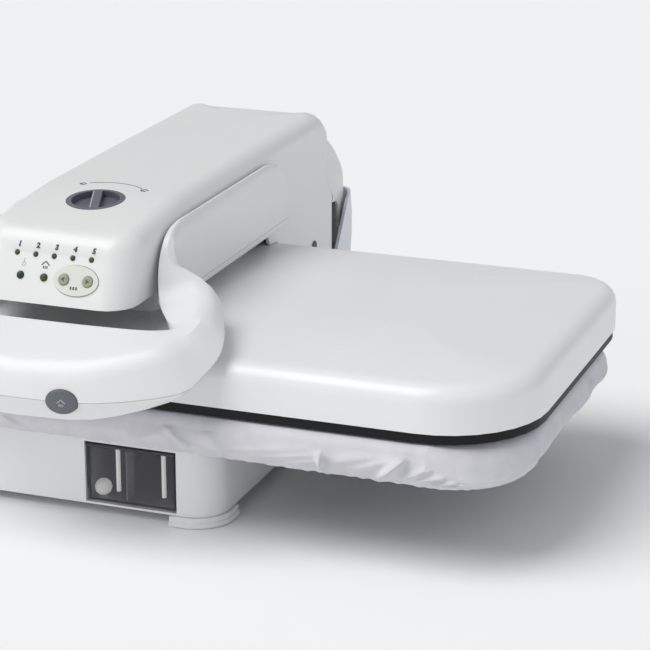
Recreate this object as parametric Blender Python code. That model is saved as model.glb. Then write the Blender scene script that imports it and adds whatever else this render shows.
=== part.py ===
# Steam ironing press, metres, +Z up, front towards -Y.
# The origin is on the table, below the middle of the press.
from math import asin, atan2, cos, hypot, pi, radians, sin, sqrt

import bmesh
import bpy
from mathutils import Matrix, Vector

# Whole press
FIT = 0.0003
OVERRUN = 0.004
WALL = 0.0025
SHEET = 0.0015

# Pressing plate
PLATE_LENGTH = 0.660
PLATE_DEPTH = 0.284
PLATE_CORNER = 0.070
PLATE_REAR_CORNER = 0.036
PRESS_PLANE = 0.091
FRAME_HEIGHT = 0.007
FRAME_INSET = 0.0015
FRAME_WIDTH = 0.005
SHELL_EDGE = 0.032
SHELL_WALL_SHARE = 0.62
SHELL_ROUND = 0.013
SHELL_CROWN = 0.005
SHELL_CROWN_INSET = 0.100
PLATE_THICKNESS = 0.004
VENT_RADIUS = 0.0025
VENT_PITCH = 0.058
VENT_ROWS = 3
VENT_ROW_GAP = 0.070
VENT_COLUMNS = 9

# Steam generator inside the plate
CHAMBER_LENGTH = 0.300
CHAMBER_DEPTH = 0.090
CHAMBER_HEIGHT = 0.009
CHAMBER_CORNER = 0.018
CHAMBER_RIB = 0.002
ELEMENT_RADIUS = 0.0035
ELEMENT_LENGTH = 0.560
ELEMENT_DEPTH = 0.180
ELEMENT_CORNER = 0.050
ELEMENT_GAP = 0.050
THERMOSTAT_RADIUS = 0.011
THERMOSTAT_HEIGHT = 0.009
FUSE_RADIUS = 0.003
FUSE_LENGTH = 0.024
CARRIER_LENGTH = 0.150
CARRIER_DEPTH = 0.170
CARRIER_HEIGHT = 0.018
STUD_RADIUS = 0.004

# Hinge
HINGE_HEIGHT = 0.104
HINGE_BEHIND = 0.072
AXLE_RADIUS = 0.006
BUSH_WALL = 0.003
CAP_RADIUS = 0.005
CAP_HEAD = 0.0012
BRACKET_HALF = 0.034
BRACKET_SHEET = 0.003
BRACKET_LENGTH = 0.080
BRACKET_EYE = 0.015
SPRING_TURNS = 5
SPRING_WIRE = 0.0013
SPRING_RADIUS = 0.0095

# Arm
ARM_HALF = 0.058
ARM_TOP = 0.2105
ARM_UNDERSIDE = 0.155
HEAD_SETBACK = 0.001
HEAD_CORNER = 0.020
HEAD_BOW = 0.0015
PANEL_LEAN = 0.50
SHOULDER = 0.013
SHOULDER_STEPS = 4
TOP_FALL = 0.015
TOP_FALL_LENGTH = 0.140
REAR_ROUND = 0.028
TOP_REAR = 0.0365
TOP_REAR_CORNER = 0.005
CHEEK_DROP = 0.020
CHEEK_SLOPE = 0.014
CHEEK_AHEAD = 0.023
CHEEK_STEPS = 6
REAR_RADIUS = 0.0925
REAR_FLANGE = 0.026
REAR_FLANGE_HIGH = 0.046
REAR_EDGE_ROUND = 0.015
REAR_TOP_ANGLE = 71.0
REAR_LOW_ANGLE = -14.0
REAR_FLUSH_ANGLES = (16.0, 36.0)
REAR_STEPS = 14
SIDE_BEHIND = 0.045
SEAM_BEHIND = 0.0435
SEAM_AHEAD = 0.030
SEAM_BEND = 0.031
SEAM_SLOPE = 0.015
NOTCH_RISE = 0.0865
CHASSIS_HALF = 0.0465
CHASSIS_SHEET = 0.0025
CHASSIS_TOP = 0.188
CHASSIS_FRONT = 0.066
CHASSIS_EYE = 0.017
SADDLE_HALF = 0.048
SADDLE_FRONT = 0.070
SADDLE_REAR = 0.042
SADDLE_CORNER = 0.010

# Control panel
LAMP_PITCH = 0.0138
LAMP_COUNT = 5
LAMP_HEIGHT = 0.185
LAMP_RADIUS = 0.0017
STATUS_RADIUS = 0.0026
STATUS_HEIGHT = 0.1715
STATUS_X = -0.0225
STATUS_PITCH = 0.0175
KEYPAD_X = 0.0190
KEYPAD_HEIGHT = 0.1715
KEYPAD_HALF_LENGTH = 0.0165
KEYPAD_HALF_HEIGHT = 0.0105
KEYPAD_PROUD = 0.0006
KEY_SPACING = 0.0175
KEY_RADIUS = 0.0038
KEY_TRAVEL = 0.0008
KEY_PROUD = 0.0012
BOARD_BEHIND = 0.010
BOSS_SPACING = 0.078
BOSS_RADIUS = 0.003
BOSS_GAP = 0.0009
CIRCUIT_LENGTH = 0.090
CIRCUIT_HEIGHT = 0.040
CIRCUIT_THICKNESS = 0.0016
DIAL_RADIUS = 0.0205
DIAL_SETBACK = 0.081
DIAL_DEPTH = 0.009
DIAL_SCOOP_SHARE = 0.5
DIAL_BAR_HALF = 0.0034
DIAL_REST_TURN = 20.0
DIAL_SHAFT_RADIUS = 0.003
VALVE_RADIUS = 0.012
VALVE_HEIGHT = 0.022

# Lever handle
BOW_HALF = 0.131
HANDLE_REACH = 0.053
STRAP_GAP = 0.0015
STRAP_THICKNESS = 0.0068
STRAP_TOP = 0.199
STRAP_BOTTOM = 0.144
STRAP_FRONT_SHARE = 1.90
STRAP_LIP = 0.0055
STRAP_BEHIND = 0.024
STRAP_END_LENGTH = 0.036
GRIP_BOTTOM = 0.090
LEVER_AHEAD = 0.101
LEVER_HEIGHT = 0.172
SHAFT_RADIUS = 0.005
CRANK_LENGTH = 0.026
CRANK_WIDTH = 0.012
CRANK_END_RADIUS = 0.0056
CRANK_PIN_RADIUS = 0.0028
RIDGE_ROUND = 0.010
RIM_ROUND = 0.005
LOW_ROUND = 0.008
BOW_STEPS = 3
BUTTON_X = 0.036
BUTTON_HALF_LENGTH = 0.0112
BUTTON_HALF_HEIGHT = 0.0083
BUTTON_LENGTH = 0.0065
BUTTON_PROUD = 0.0022
BUTTON_TRAVEL = 0.0025
BUTTON_TURN = 6.0
BUTTON_SINK = 0.0023
BUTTON_HEIGHT = 0.1085
DOME_RADIUS = 0.005

# Rear housing
FAIRING_RADIUS = 0.097
FAIRING_CLEARANCE = 0.0006
FAIRING_CORNER = 0.019
FAIRING_TOP = 0.131
FAIRING_LIP = 0.012
FAIRING_FOOT = 0.046
FAIRING_SLOPE = 0.025
FAIRING_STEP = 0.089

# Pressing board
BOARD_LENGTH = 0.634
BOARD_SETBACK = 0.002
BOARD_REAR_INSET = 0.008
BOARD_CORNER = 0.084
BOARD_REAR_CORNER = 0.050
COVER_THICKNESS = 0.0015
COVER_BULGE = 0.0022
ROLL_SHARES = (0.35, 0.3)
COVER_FOLD = 0.0020
COVER_FOLDS = 42
COVER_HEM = 0.057
COVER_TUCK = 0.013
PAD_THICKNESS = 0.009
TRAY_RIM = 0.019
TRAY_INSET = 0.0045
BEAM_WIDTH = 0.026
BEAM_LENGTH = 0.560
BEAM_SPACING = 0.130

# Base
BASE_WIDTH = 0.227
BASE_SETBACK = 0.020
BASE_REAR_INSET = 0.003
BASE_CORNER = 0.023
BASE_FLOOR = 0.0075
WELL_AHEAD = 0.010
FOOT_LENGTH = 0.034
FOOT_LIP = 0.0022
FOOT_STEP = 0.0012
FOOT_HEIGHT = 0.0062
FOOT_CLEARANCE = 0.0006
PAD_RADIUS = 0.008
PAD_HEIGHT = 0.0024
INLET_RADIUS = 0.008
INLET_BORE = 0.0035
INLET_HEIGHT = 0.030
INLET_X = -0.070

# Water tank
TANK_WIDTH = 0.066
TANK_X = 0.050
TANK_LENGTH = 0.155
TANK_HEIGHT = 0.0405
TANK_WALL = 0.002
TANK_RUN = 0.0012
RUNNER_HEIGHT = 0.007
FLOAT_RADIUS = 0.0062
TUBE_RADIUS = 0.0016
INTAKE_SHARE = 0.30
RETURN_SHARE = -0.22
TUBE_SETBACK = 0.012
LID_HEIGHT = 0.003
PLUG_RADIUS = 0.011
VALVE_SEAT_RADIUS = 0.007
VALVE_SEAT_LENGTH = 0.014

# Pump and hoses
PUMP_LENGTH = 0.040
PUMP_WIDTH = 0.032
PUMP_HEIGHT = 0.034
PUMP_NOSE_RADIUS = 0.009
PUMP_NOSE = 0.022
PUMP_BEHIND = 0.066
HOSE_RADIUS = 0.003

# Places worked out from the sizes above
DEPTH = HANDLE_REACH + PLATE_DEPTH + HINGE_BEHIND + FAIRING_RADIUS
FRONT = -DEPTH / 2
PLATE_FRONT = FRONT + HANDLE_REACH
PLATE_REAR = PLATE_FRONT + PLATE_DEPTH
PLATE_MIDDLE = (PLATE_FRONT + PLATE_REAR) / 2
HINGE_Y = PLATE_REAR + HINGE_BEHIND
CHEEK_HEIGHT = HINGE_HEIGHT - CHEEK_DROP
NOTCH_HEIGHT = HINGE_HEIGHT + NOTCH_RISE
SHELL_BOTTOM = PRESS_PLANE + FRAME_HEIGHT
SHELL_TOP = SHELL_BOTTOM + SHELL_EDGE + SHELL_CROWN
PLATE_TOP = PRESS_PLANE + PLATE_THICKNESS
HEAD_FRONT = PLATE_FRONT + HEAD_SETBACK
# The dial lies square to the arm's top, which falls to the front there.
FALL_SHARE = 1 - DIAL_SETBACK / TOP_FALL_LENGTH
DIAL_PLACE = Vector((0, HEAD_FRONT + DIAL_SETBACK, ARM_TOP - TOP_FALL * FALL_SHARE**2))
DIAL_OUT = Vector((0, -2 * TOP_FALL * FALL_SHARE / TOP_FALL_LENGTH, 1)).normalized()
DIAL_ALONG = DIAL_OUT.cross(Vector((1, 0, 0)))
BUTTON_PLACE = Vector((BUTTON_X, FRONT + BUTTON_SINK, BUTTON_HEIGHT))
PANEL_OUT = Vector((0, -1, PANEL_LEAN)).normalized()
ARM_REAR = HINGE_Y + TOP_REAR
SIDE_REAR = HINGE_Y + SIDE_BEHIND
REAR_HALF = ARM_HALF - WALL - FIT
FAIRING_HALF = ARM_HALF + FAIRING_CLEARANCE + WALL
STRAP_IN = ARM_HALF + STRAP_GAP
STRAP_OUT = STRAP_IN + STRAP_THICKNESS
STRAP_FRONT = PLATE_FRONT + STRAP_FRONT_SHARE * HANDLE_REACH
LEVER_Y = HINGE_Y - LEVER_AHEAD
CARRIER_TOP = PLATE_TOP + CARRIER_HEIGHT
CHASSIS_BOTTOM = ARM_UNDERSIDE - CHASSIS_SHEET
BOARD_FRONT = PLATE_FRONT + BOARD_SETBACK
BOARD_REAR = PLATE_REAR - BOARD_REAR_INSET
BOARD_DEPTH = BOARD_REAR - BOARD_FRONT
COVER_TOP = PRESS_PLANE - FIT
PAD_TOP = COVER_TOP - COVER_THICKNESS - FIT
TRAY_TOP = PAD_TOP - PAD_THICKNESS - FIT
BASE_FRONT = PLATE_FRONT + BASE_SETBACK
BASE_TOP = COVER_HEM - 2 * FIT
BASE_REAR = DEPTH / 2 - BASE_REAR_INSET
TANK_BOTTOM = BASE_FLOOR + SHEET + FIT
TANK_TOP = TANK_BOTTOM + TANK_HEIGHT
TANK_REAR = BASE_FRONT + TANK_LENGTH
SMOOTH = radians(34)
SIDES = ((-1, "left"), (1, "right"))

COLOURS = {
    "white_shell": ((0.86, 0.865, 0.87), 0.32, 0.0),
    "grey_shell": ((0.70, 0.71, 0.73), 0.38, 0.0),
    "black_frame": ((0.02, 0.02, 0.022), 0.5, 0.0),
    "aluminium": ((0.72, 0.72, 0.73), 0.35, 0.9),
    "steel": ((0.55, 0.56, 0.57), 0.38, 0.95),
    "fabric": ((0.62, 0.62, 0.66), 0.9, 0.0),
    "foam": ((0.78, 0.74, 0.62), 0.95, 0.0),
    "smoke": ((0.10, 0.10, 0.11), 0.12, 0.0),
    "slate": ((0.13, 0.14, 0.17), 0.45, 0.0),
    "rubber": ((0.03, 0.03, 0.03), 0.8, 0.0),
    "lamp": ((0.10, 0.13, 0.05), 0.2, 0.0),
    "lamp_green": ((0.02, 0.12, 0.09), 0.2, 0.0),
    "keypad": ((0.70, 0.71, 0.66), 0.5, 0.0),
    "key": ((0.42, 0.46, 0.38), 0.5, 0.0),
    "circuit": ((0.03, 0.16, 0.08), 0.5, 0.0),
    "brass": ((0.70, 0.53, 0.25), 0.35, 0.9),
    "hose": ((0.75, 0.75, 0.72), 0.5, 0.0),
    "ball": ((0.85, 0.84, 0.80), 0.45, 0.0),
}


def clear_scene():
    for old in list(bpy.data.objects):
        bpy.data.objects.remove(old, do_unlink=True)


def material_for(node, look):
    colour, roughness, metallic = COLOURS[look]
    made = bpy.data.materials.new(node)
    made.use_nodes = True
    shader = made.node_tree.nodes["Principled BSDF"]
    shader.inputs["Base Color"].default_value = (*colour, 1.0)
    shader.inputs["Roughness"].default_value = roughness
    shader.inputs["Metallic"].default_value = metallic
    return made


def solid(name, bm, look, pivot=None):
    """An object from a bmesh, with its origin at the pivot of its joint."""
    bmesh.ops.recalc_face_normals(bm, faces=bm.faces)
    if pivot is not None:
        bmesh.ops.translate(bm, verts=bm.verts, vec=-Vector(pivot))
    mesh = bpy.data.meshes.new(name)
    bm.to_mesh(mesh)
    bm.free()
    mesh.shade_smooth()
    mesh.set_sharp_from_angle(angle=SMOOTH)
    made = bpy.data.objects.new(name, mesh)
    bpy.context.scene.collection.objects.link(made)
    if look is None:
        made.hide_render = True
        made.display_type = "WIRE"
    else:
        mesh.materials.append(material_for(name, look))
    if pivot is not None:
        made.location = pivot
    return made


def combine(target, operation, shapes):
    """Cuts shapes away from the target or fuses them to it."""
    for bm in shapes:
        name = f"{target.name}_shape_{len(target.modifiers)}"
        change = target.modifiers.new(name, "BOOLEAN")
        change.operation = operation
        change.solver = "EXACT"
        change.object = solid(name, bm, None)


def cut(target, *shapes):
    combine(target, "DIFFERENCE", shapes)


def add(target, *shapes):
    combine(target, "UNION", shapes)


def join(*parts):
    """One bmesh holding separate closed bodies."""
    whole = bmesh.new()
    for part in parts:
        mesh = bpy.data.meshes.new("joined")
        part.to_mesh(mesh)
        part.free()
        whole.from_mesh(mesh)
        bpy.data.meshes.remove(mesh)
    return whole


def skin(rings, ladder=False, split=False):
    """A closed body through rings of equal length, with its two ends capped."""
    bm = bmesh.new()
    rows = [[bm.verts.new(point) for point in ring] for ring in rings]
    for low, high in zip(rows, rows[1:]):
        for index in range(len(low)):
            after = (index + 1) % len(low)
            if split:
                bm.faces.new((low[index], low[after], high[after]))
                bm.faces.new((low[index], high[after], high[index]))
            else:
                bm.faces.new((low[index], low[after], high[after], high[index]))
    for row in (rows[0], rows[-1]):
        if not ladder:
            bm.faces.new(row)
            continue
        # A left-right symmetric end is closed by rungs, so that it may bend along its length.
        last = len(row) - 1
        for index in range(len(row) // 2 - 1):
            rung = (row[index], row[index + 1], row[last - index - 1], row[last - index])
            bm.faces.new(rung)
    return bm


def prism_x(outline, low, high):
    """The (y, z) outline carried along X."""
    return skin([[Vector((x, y, z)) for y, z in outline] for x in (low, high)])


def prism_z(outline, low, high):
    return skin([[Vector((x, y, z)) for x, y in outline] for z in (low, high)])


def box(low, high):
    outline = [(low[0], low[1]), (high[0], low[1]), (high[0], high[1]), (low[0], high[1])]
    return prism_z(outline, low[2], high[2])


def arc(centre, radius, start, end, steps):
    """Points from start to end, angles in degrees."""
    for step in range(steps + 1):
        angle = radians(start + (end - start) * step / steps)
        yield centre[0] + radius * cos(angle), centre[1] + radius * sin(angle)


def rounded(
    half, front, rear, radius, steps=6, inset=0.0, bow=0.0, rear_radius=None, stations=()
):
    """A rectangle with round corners in plan, whose front edge may bow.

    Stations are the shares of its two long sides that get a point of their own."""
    half, front, rear = half - inset, front + inset, rear - inset
    behind = max((radius if rear_radius is None else rear_radius) - inset, FIT)
    ahead = max(radius - inset, FIT)
    low, high = front + ahead, rear - behind
    right = [(half, low + (high - low) * share) for share in stations]
    outline = [
        *arc((half - ahead, low), ahead, -90, 0, steps),
        *right,
        *arc((half - behind, high), behind, 0, 90, steps),
        *arc((behind - half, high), behind, 90, 180, steps),
        *[(-x, y) for x, y in reversed(right)],
        *arc((ahead - half, low), ahead, 180, 270, steps),
    ]
    middle = (front + rear) / 2
    return [
        (x, y + bow * (x / half) ** 2 if y < middle else y) for x, y in outline
    ]


def level(outline, z):
    return [Vector((x, y, z)) for x, y in outline]


def rod(start, end, radius, sides=16, end_radius=None):
    """A round bar between two points."""
    start, end = Vector(start), Vector(end)
    along = end - start
    bm = bmesh.new()
    bmesh.ops.create_cone(
        bm,
        cap_ends=True,
        segments=sides,
        radius1=radius,
        radius2=radius if end_radius is None else end_radius,
        depth=along.length,
        matrix=Matrix.Translation((start + end) / 2)
        @ along.to_track_quat("Z", "Y").to_matrix().to_4x4(),
    )
    return bm


def turned(profile, origin, axis, sides=24):
    """A solid of revolution: (radius, distance along the axis) pairs, no radius zero."""
    turn = Vector(axis).to_track_quat("Z", "Y")
    rings = []
    for radius, along in profile:
        ring = []
        for step in range(sides):
            angle = 2 * pi * step / sides
            local = Vector((radius * cos(angle), radius * sin(angle), along))
            ring.append(Vector(origin) + turn @ local)
        rings.append(ring)
    return skin(rings)


def sleeve(start, end, outer, inner, sides=20):
    """A tube with a bore between two points."""
    axis = Vector(end) - Vector(start)
    turn = axis.to_track_quat("Z", "Y")
    bm = bmesh.new()
    loops = []
    for radius, along in ((outer, 0), (outer, axis.length), (inner, axis.length), (inner, 0)):
        loop = []
        for step in range(sides):
            angle = 2 * pi * step / sides
            local = Vector((radius * cos(angle), radius * sin(angle), along))
            loop.append(bm.verts.new(Vector(start) + turn @ local))
        loops.append(loop)
    for low, high in zip(loops, loops[1:] + loops[:1]):
        for index in range(sides):
            after = (index + 1) % sides
            bm.faces.new((low[index], low[after], high[after], high[index]))
    return bm


def tube(name, route, radius, look, closed=False, detail=2):
    """A round tube along a route, as a curve with filled ends."""
    curve = bpy.data.curves.new(name, "CURVE")
    curve.dimensions = "3D"
    curve.bevel_depth = radius
    curve.bevel_resolution = detail
    curve.use_fill_caps = True
    line = curve.splines.new("POLY")
    line.points.add(len(route) - 1)
    for point, place in zip(line.points, route):
        point.co = (*place, 1.0)
    line.use_cyclic_u = closed
    made = bpy.data.objects.new(name, curve)
    bpy.context.scene.collection.objects.link(made)
    curve.materials.append(material_for(name, look))
    return made


def smooth_route(points, per_span=4):
    """A Catmull-Rom curve through points, which may be of any size."""
    points = [Vector(point) for point in points]
    padded = [2 * points[0] - points[1], *points, 2 * points[-1] - points[-2]]
    route = []
    for before, start, end, after in zip(padded, padded[1:], padded[2:], padded[3:]):
        for step in range(per_span):
            t = step / per_span
            route.append(
                0.5
                * (
                    2 * start
                    + (end - before) * t
                    + (2 * before - 5 * start + 4 * end - after) * t * t
                    + (3 * start - before - 3 * end + after) * t * t * t
                )
            )
    return [*route, points[-1]]


def led_route(start, start_way, through, end, end_way):
    """A hose's route between two nozzles, straight for its first and last stretch."""
    start, end = Vector(start), Vector(end)
    leave = start + Vector(start_way) * 2 * HOSE_RADIUS
    meet = end + Vector(end_way) * 2 * HOSE_RADIUS
    lead = leave + Vector(start_way) * HOSE_RADIUS
    tail = meet + Vector(end_way) * HOSE_RADIUS
    return [start, *smooth_route([leave, lead, *through, tail, meet], 3), end]


def plate_outline(inset, steps=8):
    half = PLATE_LENGTH / 2
    rear = PLATE_REAR_CORNER
    return rounded(
        half, PLATE_FRONT, PLATE_REAR, PLATE_CORNER, steps, inset, rear_radius=rear
    )


def shell_height(inset):
    """Height of the shell's outside over its bottom edge, by distance in from its outline."""
    wall = SHELL_EDGE * SHELL_WALL_SHARE
    if inset < SHELL_ROUND:
        across = 1 - inset / SHELL_ROUND
        return wall + (SHELL_EDGE - wall) * sqrt(1 - across * across)
    share = min((inset - SHELL_ROUND) / (SHELL_CROWN_INSET - SHELL_ROUND), 1)
    return SHELL_EDGE + SHELL_CROWN * sin(share * pi / 2)


def dome_rings(drop, wall, steps):
    """Rings of the pillow form from its bottom edge to its crown."""
    rings = [level(plate_outline(wall), SHELL_BOTTOM)]
    for step in range(steps + 1):
        inset = SHELL_ROUND * (1 - cos(pi / 2 * step / steps))
        rings.append(level(plate_outline(wall + inset), SHELL_BOTTOM + shell_height(inset) - drop))
    for share in (0.12, 0.3, 0.6, 1.0):
        inset = SHELL_ROUND + (SHELL_CROWN_INSET - SHELL_ROUND) * share
        rings.append(level(plate_outline(wall + inset), SHELL_BOTTOM + shell_height(inset) - drop))
    return rings


def platen_shell():
    outside = dome_rings(0, 0, 5)
    inside = dome_rings(WALL, WALL, 2)
    made = solid("platen_shell", skin(outside[::-1] + inside), "white_shell")
    opening = saddle_outline(-FIT)
    cut(made, prism_z(opening, CARRIER_TOP, ARM_UNDERSIDE))


def insulation_frame():
    outer = plate_outline(FRAME_INSET)
    inner = plate_outline(FRAME_INSET + FRAME_WIDTH)
    top = SHELL_BOTTOM - FIT
    made = solid("insulation_frame", skin([level(outer, PRESS_PLANE), level(outer, top)]), "black_frame")
    cut(made, prism_z(inner, PRESS_PLANE - OVERRUN, top + OVERRUN))


def heating_plate():
    outline = plate_outline(FRAME_INSET + FRAME_WIDTH + FIT)
    made = solid("heating_plate", prism_z(outline, PRESS_PLANE, PLATE_TOP), "aluminium")
    vents = []
    for row in range(VENT_ROWS):
        y = PLATE_MIDDLE + (row - (VENT_ROWS - 1) / 2) * VENT_ROW_GAP
        shift = VENT_PITCH / 2 * (row % 2)
        for column in range(VENT_COLUMNS - row % 2):
            x = (column - (VENT_COLUMNS - 1) / 2) * VENT_PITCH + shift
            start = (x, y, PRESS_PLANE - OVERRUN)
            vents.append(rod(start, (x, y, PLATE_TOP + OVERRUN), VENT_RADIUS, 6))
    cut(made, join(*vents))


def steam_chamber():
    bottom = PLATE_TOP + FIT
    outline = rounded(
        CHAMBER_LENGTH / 2,
        PLATE_MIDDLE - CHAMBER_DEPTH / 2,
        PLATE_MIDDLE + CHAMBER_DEPTH / 2,
        CHAMBER_CORNER,
        4,
    )
    lip = rounded(
        CHAMBER_LENGTH / 2,
        PLATE_MIDDLE - CHAMBER_DEPTH / 2,
        PLATE_MIDDLE + CHAMBER_DEPTH / 2,
        CHAMBER_CORNER,
        4,
        CHAMBER_RIB,
    )
    top = bottom + CHAMBER_HEIGHT
    rings = [level(outline, bottom), level(outline, top - CHAMBER_RIB), level(lip, top)]
    solid("steam_chamber", skin(rings), "aluminium")


def heater_element():
    centre = PLATE_TOP + FIT + ELEMENT_RADIUS
    half, depth = ELEMENT_LENGTH / 2, ELEMENT_DEPTH / 2
    outline = rounded(half, PLATE_MIDDLE - depth, PLATE_MIDDLE + depth, ELEMENT_CORNER, 5)
    # The loop is open in the middle of its rear side, where its two ends turn up.
    rear = PLATE_MIDDLE + depth
    gap = ELEMENT_GAP / 2
    route = [(gap, rear, centre)]
    right_half = [point for point in outline if point[0] > 0]
    left_half = [point for point in outline if point[0] < 0]
    route += [(x, y, centre) for x, y in reversed(right_half)]
    route += [(x, y, centre) for x, y in reversed(left_half)]
    route.append((-gap, rear, centre))
    tube("heater_element", route, ELEMENT_RADIUS, "steel", detail=1)


def thermostat():
    bottom = PLATE_TOP + FIT
    y = PLATE_MIDDLE + CHAMBER_DEPTH / 2 + 2 * THERMOSTAT_RADIUS
    x = CARRIER_LENGTH / 2 + 2 * THERMOSTAT_RADIUS
    profile = (
        (THERMOSTAT_RADIUS, 0),
        (THERMOSTAT_RADIUS, THERMOSTAT_HEIGHT / 2),
        (THERMOSTAT_RADIUS * 0.7, THERMOSTAT_HEIGHT / 2),
        (THERMOSTAT_RADIUS * 0.7, THERMOSTAT_HEIGHT),
    )
    solid("thermostat", turned(profile, (x, y, bottom), (0, 0, 1), 20), "brass")
    fuse_z = bottom + FUSE_RADIUS
    start = (-x - FUSE_LENGTH / 2, y, fuse_z)
    solid("thermal_fuse", rod(start, (-x + FUSE_LENGTH / 2, y, fuse_z), FUSE_RADIUS, 12), "brass")


def platen_carrier():
    """A steel deck over the steam chamber, on four studs from the plate."""
    half, depth = CARRIER_LENGTH / 2, CARRIER_DEPTH / 2
    deck = rounded(half, PLATE_MIDDLE - depth, PLATE_MIDDLE + depth, 4 * STUD_RADIUS, 3)
    bottom = CARRIER_TOP - SHEET
    made = solid("platen_carrier", prism_z(deck, bottom, CARRIER_TOP), "steel")
    inset = 2 * STUD_RADIUS
    for x in (inset - half, half - inset):
        for y in (PLATE_MIDDLE - depth + inset, PLATE_MIDDLE + depth - inset):
            start = (x, y, PLATE_TOP + FIT)
            add(made, rod(start, (x, y, CARRIER_TOP - SHEET / 2), STUD_RADIUS, 12))


def saddle_outline(inset):
    front = PLATE_FRONT + SADDLE_FRONT
    return rounded(SADDLE_HALF, front, PLATE_REAR - SADDLE_REAR, SADDLE_CORNER, 4, inset)


def platen_saddle():
    """The raised neck that carries the plate under the arm."""
    top = CHASSIS_BOTTOM - FIT
    made = solid("platen_saddle", prism_z(saddle_outline(0), CARRIER_TOP + FIT, top), "white_shell")
    cut(made, prism_z(saddle_outline(2 * WALL), CARRIER_TOP - OVERRUN, top - 2 * WALL))


def top_height(y):
    """Height of the arm's flat top at its middle, falling towards the head and the rear."""
    height = ARM_TOP
    ahead = HEAD_FRONT + TOP_FALL_LENGTH - y
    if ahead > 0:
        height -= TOP_FALL * (ahead / TOP_FALL_LENGTH) ** 2
    behind = y - (ARM_REAR - REAR_ROUND)
    if behind > 0:
        share = min(behind / REAR_ROUND, 1)
        height -= REAR_ROUND * (1 - sqrt(1 - share * share))
    return height


def panel_y(z):
    """The leaning front of the head at its middle."""
    return HEAD_FRONT + PANEL_LEAN * (z - ARM_UNDERSIDE)


def side_top(y):
    """Where the arm's upright side ends and its shoulder begins."""
    return top_height(y) - SHOULDER


# Where the arm's long sides have points, so that its top may fall at both ends.
ARM_SIDE_SHARES = (0.07, 0.14, 0.21, 0.55, 0.93, 0.955, 0.98)


def arm_outline(front, rear, inset):
    return rounded(
        ARM_HALF, front, rear, HEAD_CORNER, 5, inset, HEAD_BOW, TOP_REAR_CORNER, ARM_SIDE_SHARES
    )


def arm_rings(wall, low):
    """Rings of the arm's hood from its lower edge to its top."""
    front = panel_y(side_top(HEAD_FRONT + SHOULDER))
    rings = []
    for z in (low, ARM_UNDERSIDE):
        rings.append(level(arm_outline(HEAD_FRONT, SIDE_REAR, wall), z))
    for step in range(SHOULDER_STEPS + 1):
        turn = pi / 2 * step / SHOULDER_STEPS
        inset = wall + SHOULDER * (1 - cos(turn))
        outline = arm_outline(front, ARM_REAR, inset)
        rise = SHOULDER * sin(turn) - wall * sin(turn)
        rings.append([Vector((x, y, side_top(y) + rise)) for x, y in outline])
    for share in (0.5, 0.85):
        inset = SHOULDER + wall + (ARM_HALF - SHOULDER - 2 * wall) * share
        outline = arm_outline(front, ARM_REAR, inset)
        rings.append([Vector((x, y, top_height(y) - wall)) for x, y in outline])
    return rings


def arm_cover():
    outside = arm_rings(0, PRESS_PLANE - OVERRUN)
    inside = arm_rings(WALL, PRESS_PLANE - OVERRUN)
    made = solid("arm_cover", skin(outside[::-1] + inside, ladder=True), "white_shell")
    for side in (-1, 1):
        boss = panel_point(side * BOSS_SPACING / 2, (LAMP_HEIGHT + STATUS_HEIGHT) / 2)
        add(made, panel_rod(boss, BOSS_RADIUS, -BOARD_BEHIND + BOSS_GAP, -WALL / 2))
    wide = ARM_HALF + OVERRUN
    low = PRESS_PLANE - 2 * OVERRUN
    step_y = PLATE_REAR - CHEEK_AHEAD
    behind = PLATE_REAR + 2 * FIT
    rests = [(behind, low)]
    for step in range(CHEEK_STEPS + 1):
        inset = CHEEK_AHEAD * (step / CHEEK_STEPS) ** 2
        rests.append((PLATE_REAR + 2 * FIT - inset, SHELL_BOTTOM + shell_height(inset) + 2 * FIT))
    underside = [
        (HEAD_FRONT - OVERRUN, low),
        *rests,
        (step_y - CHEEK_SLOPE, ARM_UNDERSIDE),
        (HEAD_FRONT - OVERRUN, ARM_UNDERSIDE),
    ]
    cuts = [prism_x(underside, -wide, wide)]
    rear = SIDE_REAR + OVERRUN
    cuts.append(box((-wide, behind - OVERRUN, low), (wide, rear, CHEEK_HEIGHT)))
    behind_seam = [
        *seam_line(CHEEK_HEIGHT - OVERRUN, NOTCH_HEIGHT),
        (rear, NOTCH_HEIGHT),
        (rear, CHEEK_HEIGHT - OVERRUN),
    ]
    cuts.append(prism_x(behind_seam, -wide, wide))
    # The side plates reach further back than anything between them.
    inner = ARM_HALF - WALL
    cuts.append(box((-inner, HINGE_Y + SEAM_AHEAD, low), (inner, rear, NOTCH_HEIGHT)))
    well = DIAL_PLACE - DIAL_OUT * 2 * DIAL_DEPTH
    cuts.append(rod(well, DIAL_PLACE + DIAL_OUT * 2 * OVERRUN, DIAL_RADIUS + FIT, 32))
    for lamp, radius in lamp_places():
        cuts.append(panel_rod(lamp, radius + FIT, -2 * WALL, OVERRUN))
    cuts.append(keypad_form(-2 * WALL, OVERRUN, FIT))
    cuts.append(rod((-wide, LEVER_Y, LEVER_HEIGHT), (wide, LEVER_Y, LEVER_HEIGHT), SHAFT_RADIUS + FIT, 16))
    cuts.append(rod((-wide, HINGE_Y, HINGE_HEIGHT), (wide, HINGE_Y, HINGE_HEIGHT), CAP_RADIUS - CAP_HEAD, 16))
    cut(made, *cuts)


def panel_point(x, z):
    """A point on the panel's outside."""
    return Vector((x, panel_y(z) + HEAD_BOW * (x / ARM_HALF) ** 2, z))


def panel_rod(place, radius, inner, outer, sides=12):
    """A bar square to the panel, from inner to outer, measured out from its face."""
    return rod(place + PANEL_OUT * inner, place + PANEL_OUT * outer, radius, sides)


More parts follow.
